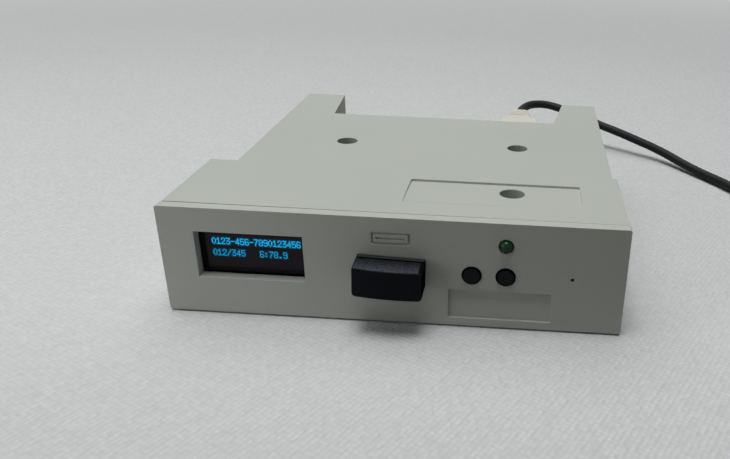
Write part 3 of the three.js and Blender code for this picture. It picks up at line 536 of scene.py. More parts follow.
def edit_parts(piece, kind, wanted):
    """Edits only the wanted faces or edges."""
    pick(piece)
    bpy.ops.object.mode_set(mode="EDIT")
    bpy.ops.mesh.select_mode(type=kind)
    bpy.ops.mesh.select_all(action="DESELECT")
    mesh = bmesh.from_edit_mesh(piece.data)
    for part in mesh.faces if kind == "FACE" else mesh.edges:
        part.select_set(bool(wanted(part)))
    bmesh.update_edit_mesh(piece.data)


def edit_faces(piece, wanted):
    """Edits the faces that wanted(middle, normal) picks."""
    edit_parts(piece, "FACE", lambda face: wanted(face.calc_center_median(), face.normal))


def edit_edges(piece, wanted):
    """Edits the edges that wanted(first end, second end) picks."""
    edit_parts(piece, "EDGE", lambda edge: wanted(edge.verts[0].co, edge.verts[1].co))


def every(middle, normal):
    """Picks every face."""
    return True


def runs_along_y(a, b):
    """Picks the long edges along Y."""
    return abs(a.y - b.y) > LONG_EDGE


def leave_edit():
    bpy.ops.object.mode_set(mode="OBJECT")


def move(x=0, y=0, z=0):
    """Moves what is being edited."""
    bpy.ops.transform.translate(value=(x, y, z))


def widen(share, **settings):
    """Scales what is being edited, seen along Y."""
    bpy.ops.transform.resize(value=(share, 1, share), **settings)


def grow_along_y(length):
    """Extrudes what is being edited along Y."""
    bpy.ops.mesh.extrude_region_move(TRANSFORM_OT_translate={"value": (0, length, 0)})


def sink(depth):
    """Extrudes what is being edited inwards and leaves edit mode."""
    bpy.ops.mesh.extrude_region_shrink_fatten(TRANSFORM_OT_shrink_fatten={"value": -depth})
    leave_edit()


def add_form(add, **settings):
    """What an operator adds, settled."""
    pick()
    add(**settings)
    form = bpy.context.active_object
    settle(form)
    return form


def add_block(low, high):
    """A block between two corners, from a cube."""
    return add_form(bpy.ops.mesh.primitive_cube_add, size=1, location=(low + high) / 2, scale=high - low)


def use_modifier(piece, kind, **settings):
    """Adds a modifier and applies it."""
    pick(piece)
    modifier = piece.modifiers.new(kind.title(), kind)
    for name, value in settings.items():
        setattr(modifier, name, value)
    bpy.ops.object.modifier_apply(modifier=modifier.name)


def cut_with(piece, cutter, operation="DIFFERENCE"):
    use_modifier(piece, "BOOLEAN", operation=operation, object=cutter, solver="EXACT")
    bpy.data.objects.remove(cutter)


def round_edges(piece, radius, segments=2):
    """Rounds all edges but those between nearly level faces."""
    use_modifier(
        piece,
        "BEVEL",
        width=radius,
        segments=segments,
        limit_method="ANGLE",
        angle_limit=CREASE_ANGLE,
        use_clamp_overlap=True,
        miter_outer="MITER_ARC",
    )


def bisect_at(piece, place, across=(0, 1, 0)):
    """Cuts a piece's faces, and not the piece, along a plane across an axis."""
    edit_faces(piece, every)
    bpy.ops.mesh.bisect(plane_co=place * Vector(across), plane_no=across)
    leave_edit()


def round_chosen(piece, radius, wanted, segments=4):
    """Rounds only the wanted edges."""
    edit_edges(piece, wanted)
    bpy.ops.mesh.bevel(offset=radius, segments=segments, affect="EDGES")
    leave_edit()


def shade(piece, angle=CREASE_ANGLE):
    """Smooth shading that keeps flat faces flat."""
    pick(piece)
    bpy.ops.object.shade_smooth_by_angle(angle=angle)
    use_modifier(piece, "WEIGHTED_NORMAL", keep_sharp=True)


def complete(piece, name, finishes, slot=None, *nodes):
    """Names a piece, gives it its finishes and its nodes' body, and lets it stand for its nodes."""
    piece.name = name
    piece.data.name = name
    piece.data.materials.clear()
    for finish in finishes:
        piece.data.materials.append(finish)
    body = frame["nodes"][nodes[0]]["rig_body"] if nodes else "base"
    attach(piece, body)
    if nodes:
        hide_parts(*nodes)
    return piece


def paint_faces(piece, wanted, place):
    """Gives the wanted faces the finish at that place."""
    for face in piece.data.polygons:
        if wanted(face.center, face.normal):
            face.material_index = place


def round_box(node):
    """The corners of a round node, its middle seen along Y and its radius."""
    low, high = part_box(node)
    return low, high, ((low.x + high.x) / 2, (low.z + high.z) / 2), (high.x - low.x) / 2


def make_turned(node, name, rings, finishes, slot, angle=TURNED_CREASE_ANGLE):
    """A round piece for a node: a circle extruded along Y from ring to ring, each a y and a radius."""
    _, _, (x, z), _ = round_box(node)
    y, radius = rings[0]
    circle = {"vertices": TURNED_SIDES, "radius": radius, "fill_type": "NGON"}
    form = add_form(bpy.ops.mesh.primitive_circle_add, **circle, location=(x, y, z), rotation=UPRIGHT)
    edit_faces(form, every)
    for next_y, next_radius in rings[1:]:
        grow_along_y(next_y - y)
        widen(next_radius / radius, center_override=(x, next_y, z))
        y, radius = next_y, next_radius
    bpy.ops.mesh.select_all(action="SELECT")
    bpy.ops.mesh.normals_make_consistent(inside=False)
    leave_edit()
    shade(form, angle)
    return complete(form, name, finishes, slot, node)


def copy_of(node, name):
    """A copy of a node as a clean mesh of its own."""
    piece = bpy.data.objects.new(name, frame["nodes"][node].data.copy())
    bpy.context.scene.collection.objects.link(piece)
    edit_faces(piece, every)
    bpy.ops.mesh.remove_doubles(threshold=TINY)
    bpy.ops.mesh.dissolve_limited(angle_limit=FLAT_ANGLE)
    leave_edit()
    return piece


def finish_copy(piece, node, finishes, radius, slot, second=None, segments=2):
    """Rounds a copy's edges, paints it and lets it stand for its node.

    The faces that second(middle, normal) picks get the second finish.
    """
    complete(piece, piece.name, finishes, slot, node)
    paint_faces(piece, every, 0)
    if second:
        paint_faces(piece, second, 1)
    if radius:
        round_edges(piece, radius, segments)
    shade(piece)
    return piece


def dress(node, name, *settings, **more):
    """A clean and rounded copy of a node, which stands for it."""
    return finish_copy(copy_of(node, name), node, *settings, **more)


def dress_plain(*rows):
    """Dresses nodes in one plain finish each.

    A row has the node, the piece's name, the finish, the radius of the edges in millimetres,
    the slot, which is not used, and, where they aren't two, the segments of a rounded edge.
    """
    return [
        dress(node, name, [plain(finish)], radius * MM, slot, None, *segments)
        for node, name, finish, radius, slot, *segments in rows
    ]


def dress_board(node, name, radius, sides):
    """A circuit board under its green mask, with bare sides."""
    finishes = [finish_of("board_mask", make_board_green), plain("board_edge")]
    dress(node, name, finishes, radius * MM, "board_green", sides)


def dress_header(node, name, finish, slot, pins):
    """A header: its bar in one plastic and its pins in gold."""
    dress(node, name, [plain(finish), plain("pin_gold")], HEADER_EDGE, slot, pins)


# Sizes and colours that a user would change

def length_setting(name, description, default, smallest=0):
    return FloatProperty(
        name=name,
        description=description,
        default=default,
        min=smallest,
        subtype="DISTANCE",
        unit="LENGTH",
        precision=5,
    )


def colour_setting(name, description, *default):
    return FloatVectorProperty(
        name=name, description=description, default=tone(*default), subtype="COLOR", min=0, max=1
    )


def level_setting(name, description, default, unit="NONE"):
    return FloatProperty(name=name, description=description, default=default, min=0, unit=unit)


def text_setting(name, description, default):
    return StringProperty(name=name, description=description, default=default)


class CaseSettings(PropertyGroup):
    plastic_colour: colour_setting("Plastic colour", "Colour of the two case halves", 175, 179, 172)
    bezel_colour: colour_setting("Bezel colour", "Colour of the front bezel", 179, 182, 175)
    corner_radius: length_setting("Corner radius", "Rounding of the bezel's four corners", 0.5 * MM)
    edge_radius: length_setting("Edge radius", "Rounding of the moulded edges", 0.16 * MM)


class DisplaySettings(PropertyGroup):
    first_row: text_setting("First row", "Digits and marks of the upper row", "0123-456-7890123456")
    second_row: text_setting("Second row", "Digits and marks of the lower row", "012/345   6:78.9")
    dot_pitch: length_setting("Dot pitch", "Distance from dot to dot", 0.175 * MM)
    glow_colour: colour_setting("Glow colour", "Colour of the lit dots", 40, 190, 255)
    glow_strength: level_setting("Glow strength", "Strength of the lit dots", 1.3)


class ControlSettings(PropertyGroup):
    button_rounding: length_setting("Button rounding", "Radius round the buttons' faces", 0.45 * MM)
    lamp_colour: colour_setting("Lamp colour", "Colour of the lamp's resin", 6, 66, 24)


class StickSettings(PropertyGroup):
    front_bulge: length_setting("Front bulge", "How far the stick's front bulges out", 0.55 * MM)
    roll: FloatProperty(
        name="Roll",
        description="Turn of the stick in its port",
        default=math.radians(1.9),
        subtype="ANGLE",
        unit="ROTATION",
    )
    top_colour: colour_setting("Top colour", "Colour of the speckled top", 68, 73, 84)
    top_grain: length_setting("Top grain", "Size of the speckles on the top", 0.45 * MM, 0.05 * MM)


class LeadSettings(PropertyGroup):
    length: length_setting("Length", "Length of the power lead from its strain relief to its far plug", 1.0)
    diameter: length_setting("Diameter", "Diameter of the power lead", 3 * MM)


class StageSettings(PropertyGroup):
    floor_colour: colour_setting("Floor colour", "Colour of the floor", 220, 222, 222)
    softbox_power: level_setting("Softbox power", "Power of the large lamp over the drive", 10.2, "POWER")
    key_lamp_power: level_setting("Key lamp power", "Power of the smaller lamp above the drive", 4.3, "POWER")
    side_lamp_power: level_setting("Side lamp power", "Power of the lamp at the left", 0.29, "POWER")
    fill_level: level_setting("Fill level", "Level of the even light from all round", 0.01)
    backdrop_colour: colour_setting("Backdrop colour", "Colour seen beyond the floor", 190, 193, 192)


# Stage

def make_floor(settings):
    floor = add_form(bpy.ops.mesh.primitive_plane_add, size=FLOOR_SIZE, location=(0, 0, -FLOOR_DROP))
    floor.name = "floor"
    colours = tuple(settings.floor_colour), tuple(settings.backdrop_colour)
    floor.data.materials.append(finish_of("floor_weave", make_woven_floor, *colours))


def make_lamps(settings):
    """Square lamps that point at the drive."""
    for name, (place, size) in LAMPS.items():
        pick()
        bpy.ops.object.light_add(type="AREA", location=place)
        lamp = bpy.context.active_object
        lamp.name = name
        lamp.data.size = size
        lamp.data.energy = getattr(settings, f"{name}_power")
        lamp.rotation_euler = (-Vector(place)).to_track_quat("-Z", "Y").to_euler()


def make_world(settings):
    """An even fill light, and a pale backdrop for what the camera, gloss and glass see."""
    world = bpy.data.worlds.new("backdrop")
    world.use_nodes = True
    bpy.context.scene.world = world
    fill = world.node_tree.nodes["Background"]
    feed(fill, {"Color": (1, 1, 1, 1), "Strength": settings.fill_level})
    pale = add_step(fill, "ShaderNodeBackground", {"Color": (*settings.backdrop_colour, 1)})
    mix_surface(fill, pale, seen_rays(fill), "World Output")


def make_camera():
    """The camera at the photograph's place and angle."""
    camera = bpy.data.objects.new("camera", bpy.data.cameras.new("camera"))
    bpy.context.scene.collection.objects.link(camera)
    camera.matrix_world = (
        Matrix.Translation(CAMERA_PLACE)
        @ Matrix.Rotation(-CAMERA_YAW, 4, "Z")
        @ Matrix.Rotation(math.pi / 2 + CAMERA_PITCH, 4, "X")
        @ Matrix.Rotation(CAMERA_ROLL, 4, "Z")
    )
    camera.data.sensor_width = SENSOR_WIDTH
    camera.data.lens = FOCAL_PIXELS / PHOTO_WIDTH * SENSOR_WIDTH
    camera.data.shift_x = (PHOTO_WIDTH / 2 - MIDDLE_PIXEL) / PHOTO_WIDTH
    camera.data.clip_start = CAMERA_NEAREST
    camera.data.clip_end = CAMERA_FARTHEST
    bpy.context.scene.camera = camera


class DRIVE_OT_stage(Operator):
    """Adds the floor, the three lamps, the fill light and the camera"""

    bl_idname = "drive.stage"
    bl_label = "Stage"

    def execute(self, context):
        settings = context.scene.drive_stage
        context.scene.view_settings.view_transform = "Standard"
        make_floor(settings)
        make_lamps(settings)
        make_world(settings)
        make_camera()
        return {"FINISHED"}


# Power lead

def from_face(x, y, z):
    """A point given from the bezel's face."""
    return Vector((x, FACE_Y + y, z))


def smooth_run(points, steps):
    """Points on one smooth curve through the given ones."""
    whole = [2 * points[0] - points[1], *points, 2 * points[-1] - points[-2]]
    run = []
    for before, start, end, after in zip(whole, whole[1:], whole[2:], whole[3:]):
        pairs = (before, start), (start, end), (end, after)
        first, middle, last = (math.sqrt((b - a).length) for a, b in pairs)
        leaving = (start - before) / first - (end - before) / (first + middle) + (end - start) / middle
        arriving = (end - start) / middle - (after - start) / (middle + last) + (after - end) / last
        near, far = start + leaving * middle / 3, end - arriving * middle / 3
        run += interpolate_bezier(start, near, far, end, steps + 1)[:-1]
    return [*run, points[-1]]


def coil_point(turns):
    """A point on the coil: in on its lower layer, up at its middle and out on its upper layer."""
    radius = COIL_RADIUS - COIL_PITCH * min(turns, COIL_TURNS - turns)
    climbed = (turns - (COIL_TURNS - COIL_CLIMB_TURNS) / 2) / COIL_CLIMB_TURNS
    climbed = min(1, max(0, climbed))
    height = COIL_HEIGHT + COIL_PITCH * climbed * climbed * (3 - 2 * climbed)
    angle = math.pi + 2 * math.pi * turns
    x = COIL_MIDDLE[0] + radius * math.cos(angle)
    y = COIL_MIDDLE[1] + radius * math.sin(angle)
    return from_face(x, y, height)


def lead_points():
    """The middle of the lead from its strain relief to its far plug."""
    run_in = Vector((0, COIL_END_RUN, 0))
    turning = [coil_point(step / COIL_STEPS) for step in range(int(COIL_TURNS * COIL_STEPS) + 1)]
    route = [from_face(x * MM, y * MM, z * MM) for x, y, z in LEAD_ROUTE]
    free = smooth_run([*route, turning[0] + run_in], ROUTE_STEPS)
    tail_start = turning[-1] + run_in + Vector((0, TAIL_GAP, 0))
    tail_end = Vector((tail_start.x, tail_start.y + TAIL_LENGTH, TAIL_END_HEIGHT))
    reach = Vector((0, TAIL_LENGTH / 2, 0))
    tail = interpolate_bezier(tail_start, tail_start + reach, tail_end - reach, tail_end, TAIL_STEPS)
    return [*free, *turning, turning[-1] + run_in, *tail]


def make_lead_curve(points, diameter):
    data = bpy.data.curves.new("power_lead", "CURVE")
    data.dimensions = "3D"
    data.bevel_depth = diameter / 2
    data.bevel_resolution = LEAD_ROUNDNESS
    data.use_fill_caps = True
    spline = data.splines.new("POLY")
    spline.points.add(len(points) - 1)
    for place, point in zip(spline.points, points):
        place.co = (*point, 1)
    spline.use_smooth = True
    lead = bpy.data.objects.new("power_lead_cord", data)
    bpy.context.scene.collection.objects.link(lead)
    return lead


def make_far_plug():
    """The plug at the lead's far end, with a tapered and grooved relief."""
    low, high, _, radius = round_box("far_plug_relief")
    tip = radius * FAR_RELIEF_TIP
    rings = []
    for rib in range(FAR_RELIEF_RIBS):
        for part, sunk in FAR_RELIEF_RIB:
            along = (rib + part) / FAR_RELIEF_RIBS
            reach = tip + (radius - tip) * along - sunk * FAR_RELIEF_RIB_DEPTH
            rings.append((low.y + (high.y - low.y) * along, reach))
    rings.append((high.y, radius))
    finishes = [plain("lead_sleeve")]
    sleeve = make_turned("far_plug_relief", "far_relief", rings, finishes, "lead_black", CREASE_ANGLE)
    rest = dress_plain(
        ("far_plug_body", "far_body", "lead_sleeve", 0.9, "lead_black", 4),
        ("far_plug_shell", "far_sleeve", "plug_nickel", 0.08, "plug_metal"),
        ("far_plug_insulator", "far_insulator", "chip_plastic", 0.1, "chip_black"),
    )
    return [sleeve, *rest]


def make_drive_plug():
    """The cream plug on the power header and its strain relief."""
    dress_plain(("power_plug", "drive_plug", "warm_cream", 0.35, "cream_plastic", 3))
    low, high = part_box("power_plug_relief")
    sleeve = add_block(low, high)
    edit_faces(sleeve, lambda middle, normal: normal.y < -FACING)
    bpy.ops.transform.resize(value=(RELIEF_FOOT, 1, 1))
    leave_edit()
    round_chosen(sleeve, RELIEF_CORNER, runs_along_y)
    edit_faces(sleeve, lambda middle, normal: normal.y > FACING)
    move(y=-RELIEF_NOSE)
    widen(RELIEF_TAPER)
    for reach, share in RELIEF_NOSE_STEPS:
        grow_along_y(reach * RELIEF_NOSE)
        widen(share)
    leave_edit()
    for place in RELIEF_GROOVES:
        y = low.y + place * (high.y - low.y)
        end = y + RELIEF_GROOVE
        bisect_at(sleeve, y)
        bisect_at(sleeve, end)
        edit_faces(sleeve, lambda middle, normal: y < middle.y < end and abs(normal.y) < ASIDE)
        sink(RELIEF_GROOVE / 2)
    round_edges(sleeve, RELIEF_EDGE)
    shade(sleeve)
    complete(sleeve, "drive_plug_relief", [plain("warm_cream")], "cream_plastic", "power_plug_relief")


class DRIVE_OT_power_lead(Operator):
    """Adds the power lead with its coil, its tie and its two plugs"""

    bl_idname = "drive.power_lead"
    bl_label = "Power lead"

    def execute(self, context):
        settings = context.scene.drive_lead
        points = lead_points()
        lead = make_lead_curve(points, settings.diameter)
        nodes = "power_lead", "power_lead_coil", "power_lead_tail"
        complete(lead, "power_lead_cord", [plain("lead_sleeve")], "lead_black", *nodes)
        make_drive_plug()
        far_pieces = make_far_plug()
        ties = dress_plain(("coil_tie", "lead_tie", "plain_black", 0.15, "black_plastic"))
        return {"FINISHED"}


# Case

def make_bezel(settings):
    """The bezel with rounded corners, fine edges and a hole that fits the lamp closely."""
    bezel = copy_of("front_bezel", "bezel_moulding")
    low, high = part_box("front_bezel")

    def at_side(place, start, end):
        return place < start + TINY or place > end - TINY

    def outer_corner(a, b):
        upright = abs(a.x - b.x) < TINY and abs(a.z - b.z) < TINY
        return upright and at_side(a.x, low.x, high.x) and at_side(a.z, low.z, high.z)

    def label_floor(middle, normal):
        sunk = normal.y < -FACING and low.y + TINY < middle.y < low.y + NEAR_FACE
        return sunk and middle.x > 0 and middle.z < (low.z + high.z) / 2

    def lamp_hole(middle, normal):
        return math.hypot(middle.x - x, middle.z - z) < radius + LAMP_HOLE_MARGIN and abs(normal.y) < ASIDE

    round_chosen(bezel, settings.corner_radius, outer_corner)
    edit_faces(bezel, every)
    bpy.ops.mesh.remove_doubles(threshold=BEZEL_FINE_EDGE / 2)
    leave_edit()
    edit_faces(bezel, label_floor)
    move(y=LABEL_SPARE_DEPTH)
    leave_edit()
    *_, (x, z), radius = round_box("status_lamp")
    edit_faces(bezel, lamp_hole)
    widen(LAMP_HOLE_SHARE, center_override=(x, 0, z))
    leave_edit()
    satin = plain("bezel_satin", settings.bezel_colour)
    finish_copy(bezel, "front_bezel", [satin], BEZEL_FINE_EDGE, "case_plastic")


def make_top_cover(shell, radius):
    """The top cover with a skewed front edge, a tilted label recess and a drafted front well."""
    cover = copy_of("top_cover", "top_moulding")
    low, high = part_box("top_cover")
    screw_low, screw_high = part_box("case_screw_front")
    well = (screw_low + screw_high) / 2

    def well_rim(a, b):
        reach = max(math.hypot(end.x - well.x, end.y - well.y) for end in (a, b))
        return reach < WELL_REACH and min(a.z, b.z) > high.z - NEAR_FACE

    def label_floor(middle, normal):
        return normal.z > FACING and high.z - NEAR_FACE < middle.z < high.z - TINY

    edit_edges(cover, lambda a, b: max(a.y, b.y) < low.y + TINY)
    angle = math.atan(SEAM_SHIFT / (high.x - low.x))
    bpy.ops.transform.rotate(value=angle, orient_axis="Z", center_override=(low.x, low.y, 0))
    leave_edit()
    edit_edges(cover, well_rim)
    bpy.ops.transform.resize(value=(WELL_RIM_SHARE, WELL_RIM_SHARE, 1), center_override=(well.x, well.y, 0))
    move(y=WELL_RIM_SHIFT)
    leave_edit()
    edit_faces(cover, label_floor)
    chosen = [vertex.co for vertex in bmesh.from_edit_mesh(cover.data).verts if vertex.select]
    front = min(place.y for place in chosen)
    move(z=TOP_LABEL_RAISE)
    bpy.ops.transform.rotate(value=TOP_LABEL_TILT, orient_axis="X", center_override=(0, front, chosen[0].z))
    leave_edit()
    finish_copy(cover, "top_cover", [shell], radius, "case_plastic")


class DRIVE_OT_case(Operator):
    """Dresses the bezel, the two case halves and the case screws"""

    bl_idname = "drive.case"
    bl_label = "Case"

    def execute(self, context):
        settings = context.scene.drive_case
        make_bezel(settings)
        shell = plain("case_shell", settings.plastic_colour)
        make_top_cover(shell, settings.edge_radius)
        dress("bottom_cover", "bottom_moulding", [shell], settings.edge_radius, "case_plastic")
        for side in ("left", "right", "front"):
            dress_plain((f"case_screw_{side}", f"cover_screw_{side}", "drawn_steel", 0.12, "screw_steel"))
        return {"FINISHED"}


# Display

def dot_places(words, row, pitch, face):
    """Middles of the lit dots of one of the display's rows."""
    return [
        (
            TEXT_LEFT + place * CHARACTER_STEP * pitch + (column + 0.5) * pitch,
            face,
            TEXT_TOP - row * ROW_STEP * pitch - (line + 0.5) * pitch,
        )
        for place, character in enumerate(words)
        for line, marks in enumerate(CHARACTER_DOTS.get(character, "").split())
        for column, mark in enumerate(marks)
        if mark == "#"
    ]


def make_dots(name, dots, size, finish):
    """Small upright squares on the display, one to each dot."""
    add = bpy.ops.mesh.primitive_plane_add
    squares = add_form(add, size=size, location=dots[0], rotation=UPRIGHT)
    edit_faces(squares, lambda middle, normal: False)
    for dot in dots[1:]:
        add(size=size, location=dot, rotation=UPRIGHT)
    leave_edit()
    complete(squares, name, [finish])


def make_lit_text(settings):
    """The display's rows, just before its glass, with their glow behind them."""
    pitch, colour = settings.dot_pitch, tuple(settings.glow_colour)
    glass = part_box("display_glass")[0].y
    for row, (name, brightness) in enumerate(ROW_LEVELS.items()):
        for kind, (before, share, level) in ROW_LAYERS.items():
            strength = level * brightness * settings.glow_strength
            finish = finish_of(f"{name}_{kind}_light", make_lit_dot, colour, strength)
            dots = dot_places(getattr(settings, name), row, pitch, glass - before)
            make_dots(f"{name}_{kind}", dots, share * pitch, finish)


class DRIVE_OT_display(Operator):
    """Dresses the display's glass, board, plug and wires, and lights its rows"""

    bl_idname = "drive.display"
    bl_label = "Display"

    def execute(self, context):
        glass = finish_of("screen_glass", make_screen_glass)
        dress("display_glass", "display_panel", [glass], 0.1 * MM, "display_black")
        dress_board("display_board", "display_circuit", 0.08, lambda middle, normal: abs(normal.y) < ASIDE)
        bar_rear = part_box("display_header")[0].y + BAR_DEPTH + TINY
        header = "display_header", "display_pins", "plain_black", "black_plastic"
        dress_header(*header, lambda middle, normal: middle.y > bar_rear)
        dress_plain(("display_plug", "display_socket", "plain_black", 0.15, "black_plastic"))
        for count in (1, 2, 3, 4):
            wire = f"display_wire_{count}", f"display_lead_{count}", "thin_wire_sleeve", 0, "wire_sleeve"
            dress_plain(wire)
        make_lit_text(context.scene.drive_display)
        return {"FINISHED"}


# Buttons, lamp and port

def make_button(side, rounding):
    """A round push button with a rounded face, and the flange that keeps it in."""
    node = f"button_{side}"
    low, high, _, flange = round_box(node)
    stem = flange - BUTTON_FLANGE_REACH
    slope = high.y - FLANGE_SLOPE * BUTTON_FLANGE
    rings = [(high.y, flange), (high.y - BUTTON_FLANGE, flange), (slope, stem)]
    for step in range(BUTTON_STEPS + 1):
        angle = math.pi / 2 * step / BUTTON_STEPS
        y = low.y + rounding * (1 - math.sin(angle))
        rings.append((y, stem - rounding * (1 - math.cos(angle))))
    rings += [(low.y + sunk, (stem - rounding) * share) for sunk, share in BUTTON_DISH]
    finishes = [plain("button_satin"), plain("button_sides")]
    button = make_turned(node, f"{side}_button_cap", rings, finishes, "button_black")
    # Painted shade: the sides and the rounding get the near black finish of the shadowed gap round the button
    paint_faces(button, lambda middle, normal: abs(normal.y) < SQUARELY, 1)


def make_lamp(colour):
    """The lamp's dome and collar."""
    low, high, _, collar = round_box("status_lamp")
    radius = collar - LAMP_COLLAR_REACH
    rings = [
        (high.y, collar - LAMP_COLLAR_EDGE),
        (high.y - LAMP_COLLAR_EDGE, collar),
        (high.y - LAMP_COLLAR, collar),
        (high.y - FLANGE_SLOPE * LAMP_COLLAR, radius),
    ]
    for step in range(LAMP_STEPS + 1):
        angle = LAMP_TIP_ANGLE + LAMP_DOME_ANGLE * (1 - step / LAMP_STEPS)
        rings.append((low.y + radius * (1 - math.cos(angle)), radius * math.sin(angle)))
    resin = finish_of("lamp_resin", make_lamp_green, colour)
    make_turned("status_lamp", "lamp_dome", rings, [resin], "lamp_green")


class DRIVE_OT_controls(Operator):
    """Adds the two push buttons and the lamp, and dresses the switches and the lamp's legs"""

    bl_idname = "drive.controls"
    bl_label = "Buttons and lamp"

    def execute(self, context):
        settings = context.scene.drive_controls
        for side in ("left", "right"):
            make_button(side, settings.button_rounding)
            dress_plain(
                (f"switch_body_{side}", f"tact_switch_{side}", "chip_plastic", 0.15, "chip_black"),
                (f"lamp_leg_{side}", f"lamp_wire_{side}", "drawn_steel", 0.08, "plug_metal"),
            )
        make_lamp(tuple(settings.lamp_colour))
        return {"FINISHED"}


class DRIVE_OT_port(Operator):
    """Dresses the port's metal shell and its tongue"""

    bl_idname = "drive.port"
    bl_label = "Port"

    def execute(self, context):
        dress_plain(
            ("usb_socket_shell", "port_shell", "plug_nickel", 0.06, "plug_metal"),
            ("usb_socket_tongue", "port_tongue", "chip_plastic", 0.1, "black_plastic"),
        )
        return {"FINISHED"}


# Stick

def make_stick_cap(settings):
    """The stick's cap: a block with a falling top, rounded sides, a bowed front, a groove and a rim."""
    low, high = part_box("stick_cap")
    centre = (low + high) / 2
    rim = high.y - STICK_RIM
    groove = rim - STICK_GROOVE
    panel_end = high.x - STICK_DARK_STRIP

    def front_top(a, b):
        return max(a.y, b.y) < low.y + TINY and min(a.z, b.z) > high.z - TINY

    def lower_side(a, b):
        return runs_along_y(a, b) and max(a.z, b.z) < centre.z

    def upper_side(a, b):
        return runs_along_y(a, b) and min(a.z, b.z) > high.z - NEAR_FACE

    def on_top(middle, normal):
        return normal.z > SQUARELY and middle.z > high.z - NEAR_FACE

    cap = add_block(low, high)
    edit_edges(cap, front_top)
    move(z=-STICK_TOP_FALL)
    leave_edit()
    round_chosen(cap, STICK_CORNER, lower_side, 6)
    round_chosen(cap, STICK_TOP_CORNER, upper_side)
    half = (high.x - low.x) / 2
    bow = (half ** 2 + settings.front_bulge ** 2) / (2 * settings.front_bulge)
    barrel = add_form(
        bpy.ops.mesh.primitive_cylinder_add,
        vertices=STICK_BARREL_SIDES,
        radius=bow,
        depth=4 * (high.z - low.z),
        location=(centre.x, low.y + bow, centre.z),
    )
    cut_with(cap, barrel, "INTERSECT")
    edit_faces(cap, lambda middle, normal: normal.y < -FACING)
    bpy.ops.mesh.region_to_loop()
    bpy.ops.mesh.bevel(offset=STICK_FRONT_EDGE, segments=3, affect="EDGES")
    leave_edit()
    bisect_at(cap, rim)
    bisect_at(cap, groove)
    bisect_at(cap, panel_end, (1, 0, 0))
    edit_faces(cap, lambda middle, normal: groove < middle.y < rim)
    sink(STICK_GROOVE_DEPTH)
    shell_low, shell_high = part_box("stick_plug_shell")
    gap = Vector((STICK_POCKET_GAP, 0, STICK_POCKET_GAP))
    pocket = add_block(
        Vector((shell_low.x, high.y - STICK_POCKET_DEPTH, shell_low.z)) - gap,
        Vector((shell_high.x, high.y + STICK_RIM, shell_high.z)) + gap,
    )
    cut_with(cap, pocket)
    pick(cap)
    cap.matrix_world = (
        Matrix.Translation((centre.x, 0, centre.z))
        @ Matrix.Rotation(settings.roll, 4, "Y")
        @ Matrix.Translation((-centre.x, 0, -centre.z))
    )
    settle(cap)
    shade(cap, STICK_CREASE_ANGLE)
    reach = settings.top_grain, low.y, rim
    # The top's finish holds the speckle and a painted sheen that lightens the top's front
    speckled = finish_of("stick_grain", make_stick_speckle_and_sheen, tuple(settings.top_colour), *reach)
    finishes = [plain("stick_gloss"), speckled, plain("stick_sides"), plain("stick_rim")]
    complete(cap, "stick_cover", finishes, "stick_black", "stick_cap")
    paint_faces(cap, every, 0)
    paint_faces(cap, lambda middle, normal: abs(normal.x) > ASIDE, 2)
    paint_faces(cap, lambda middle, normal: on_top(middle, normal) and middle.y < groove, 1)
    paint_faces(cap, lambda middle, normal: on_top(middle, normal) and middle.x > panel_end, 2)
    paint_faces(cap, lambda middle, normal: on_top(middle, normal) and middle.y > rim, 3)


class DRIVE_OT_stick(Operator):
    """Adds the stick's cap and dresses its metal sleeve and its insulator"""

    bl_idname = "drive.stick"
    bl_label = "Stick"

    def execute(self, context):
        make_stick_cap(context.scene.drive_stick)
        dress_plain(
            ("stick_plug_shell", "stick_sleeve", "plug_nickel", 0.06, "plug_metal"),
            ("stick_plug_insulator", "stick_insulator", "chip_plastic", 0.1, "chip_black"),
        )
        return {"FINISHED"}


# Board

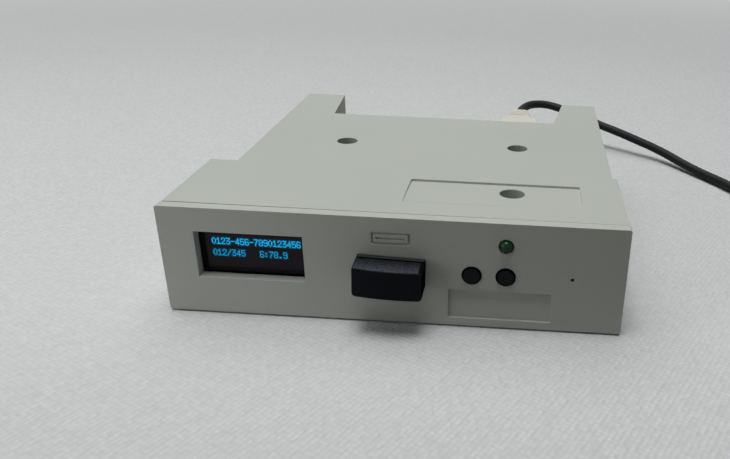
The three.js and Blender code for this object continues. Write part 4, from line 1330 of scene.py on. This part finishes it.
class DRIVE_OT_board(Operator):
    """Dresses the main board, its headers and the parts on it"""

    bl_idname = "drive.board"
    bl_label = "Main board"

    def execute(self, context):
        dress_board("main_board", "main_circuit", 0.1, lambda middle, normal: abs(normal.z) < ASIDE)
        for header in (
            ("data_header", "data_pins", "plain_black", "black_plastic"),
            ("power_header", "power_pins", "warm_cream", "cream_plastic"),
        ):
            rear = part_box(header[0])[1].y - PIN_REACH
            front = rear - BAR_DEPTH - TINY
            rear += TINY
            dress_header(*header, lambda middle, normal: not front < middle.y < rear)
        bar_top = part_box("jumper_header")[0].z + JUMPER_BAR_HEIGHT + TINY
        header = "jumper_header", "jumper_pins", "plain_black", "black_plastic"
        dress_header(*header, lambda middle, normal: middle.z > bar_top)
        dress_plain(
            ("jumper_cap_1", "jumper_bridge_1", "plain_black", 0.15, "black_plastic"),
            ("jumper_cap_2", "jumper_bridge_2", "plain_black", 0.15, "black_plastic"),
            ("processor_chip", "processor_package", "chip_plastic", 0.1, "chip_black"),
            ("buffer_chip", "buffer_package", "chip_plastic", 0.12, "chip_black"),
            ("voltage_regulator", "regulator_package", "chip_plastic", 0.12, "chip_black"),
            ("crystal", "crystal_can", "drawn_steel", 0.3, "plug_metal", 3),
            ("capacitor_front", "capacitor_can_front", "drawn_steel", 0.35, "plug_metal", 3),
            ("capacitor_rear", "capacitor_can_rear", "drawn_steel", 0.35, "plug_metal", 3),
        )
        return {"FINISHED"}


class DRIVE_PT_panel(Panel):
    """Lists the steps and the sizes and colours that can be changed"""

    bl_idname = "DRIVE_PT_panel"
    bl_label = "Floppy drive emulator"
    bl_space_type = "VIEW_3D"
    bl_region_type = "UI"
    bl_category = "Drive"

    def draw(self, context):
        for step in STEPS:
            self.layout.operator(step.bl_idname)
        for group, attribute in SETTINGS:
            box = self.layout.box()
            for name in group.__annotations__:
                box.prop(getattr(context.scene, attribute), name)


SETTINGS = (
    (StageSettings, "drive_stage"),
    (LeadSettings, "drive_lead"),
    (CaseSettings, "drive_case"),
    (DisplaySettings, "drive_display"),
    (ControlSettings, "drive_controls"),
    (StickSettings, "drive_stick"),
)
STEPS = (
    DRIVE_OT_stage,
    DRIVE_OT_power_lead,
    DRIVE_OT_case,
    DRIVE_OT_display,
    DRIVE_OT_controls,
    DRIVE_OT_port,
    DRIVE_OT_stick,
    DRIVE_OT_board,
)


def register():
    for group, attribute in SETTINGS:
        bpy.utils.register_class(group)
        setattr(bpy.types.Scene, attribute, PointerProperty(type=group))
    for kind in (*STEPS, DRIVE_PT_panel):
        bpy.utils.register_class(kind)


def unregister():
    for kind in (DRIVE_PT_panel, *reversed(STEPS)):
        bpy.utils.unregister_class(kind)
    for group, attribute in reversed(SETTINGS):
        delattr(bpy.types.Scene, attribute)
        bpy.utils.unregister_class(group)


def main():
    register()
    bpy.ops.drive.stage()
    bpy.ops.drive.power_lead()
    bpy.ops.drive.case()
    bpy.ops.drive.display()
    bpy.ops.drive.controls()
    bpy.ops.drive.port()
    bpy.ops.drive.stick()
    bpy.ops.drive.board()


if __name__ == "__main__":
    main()
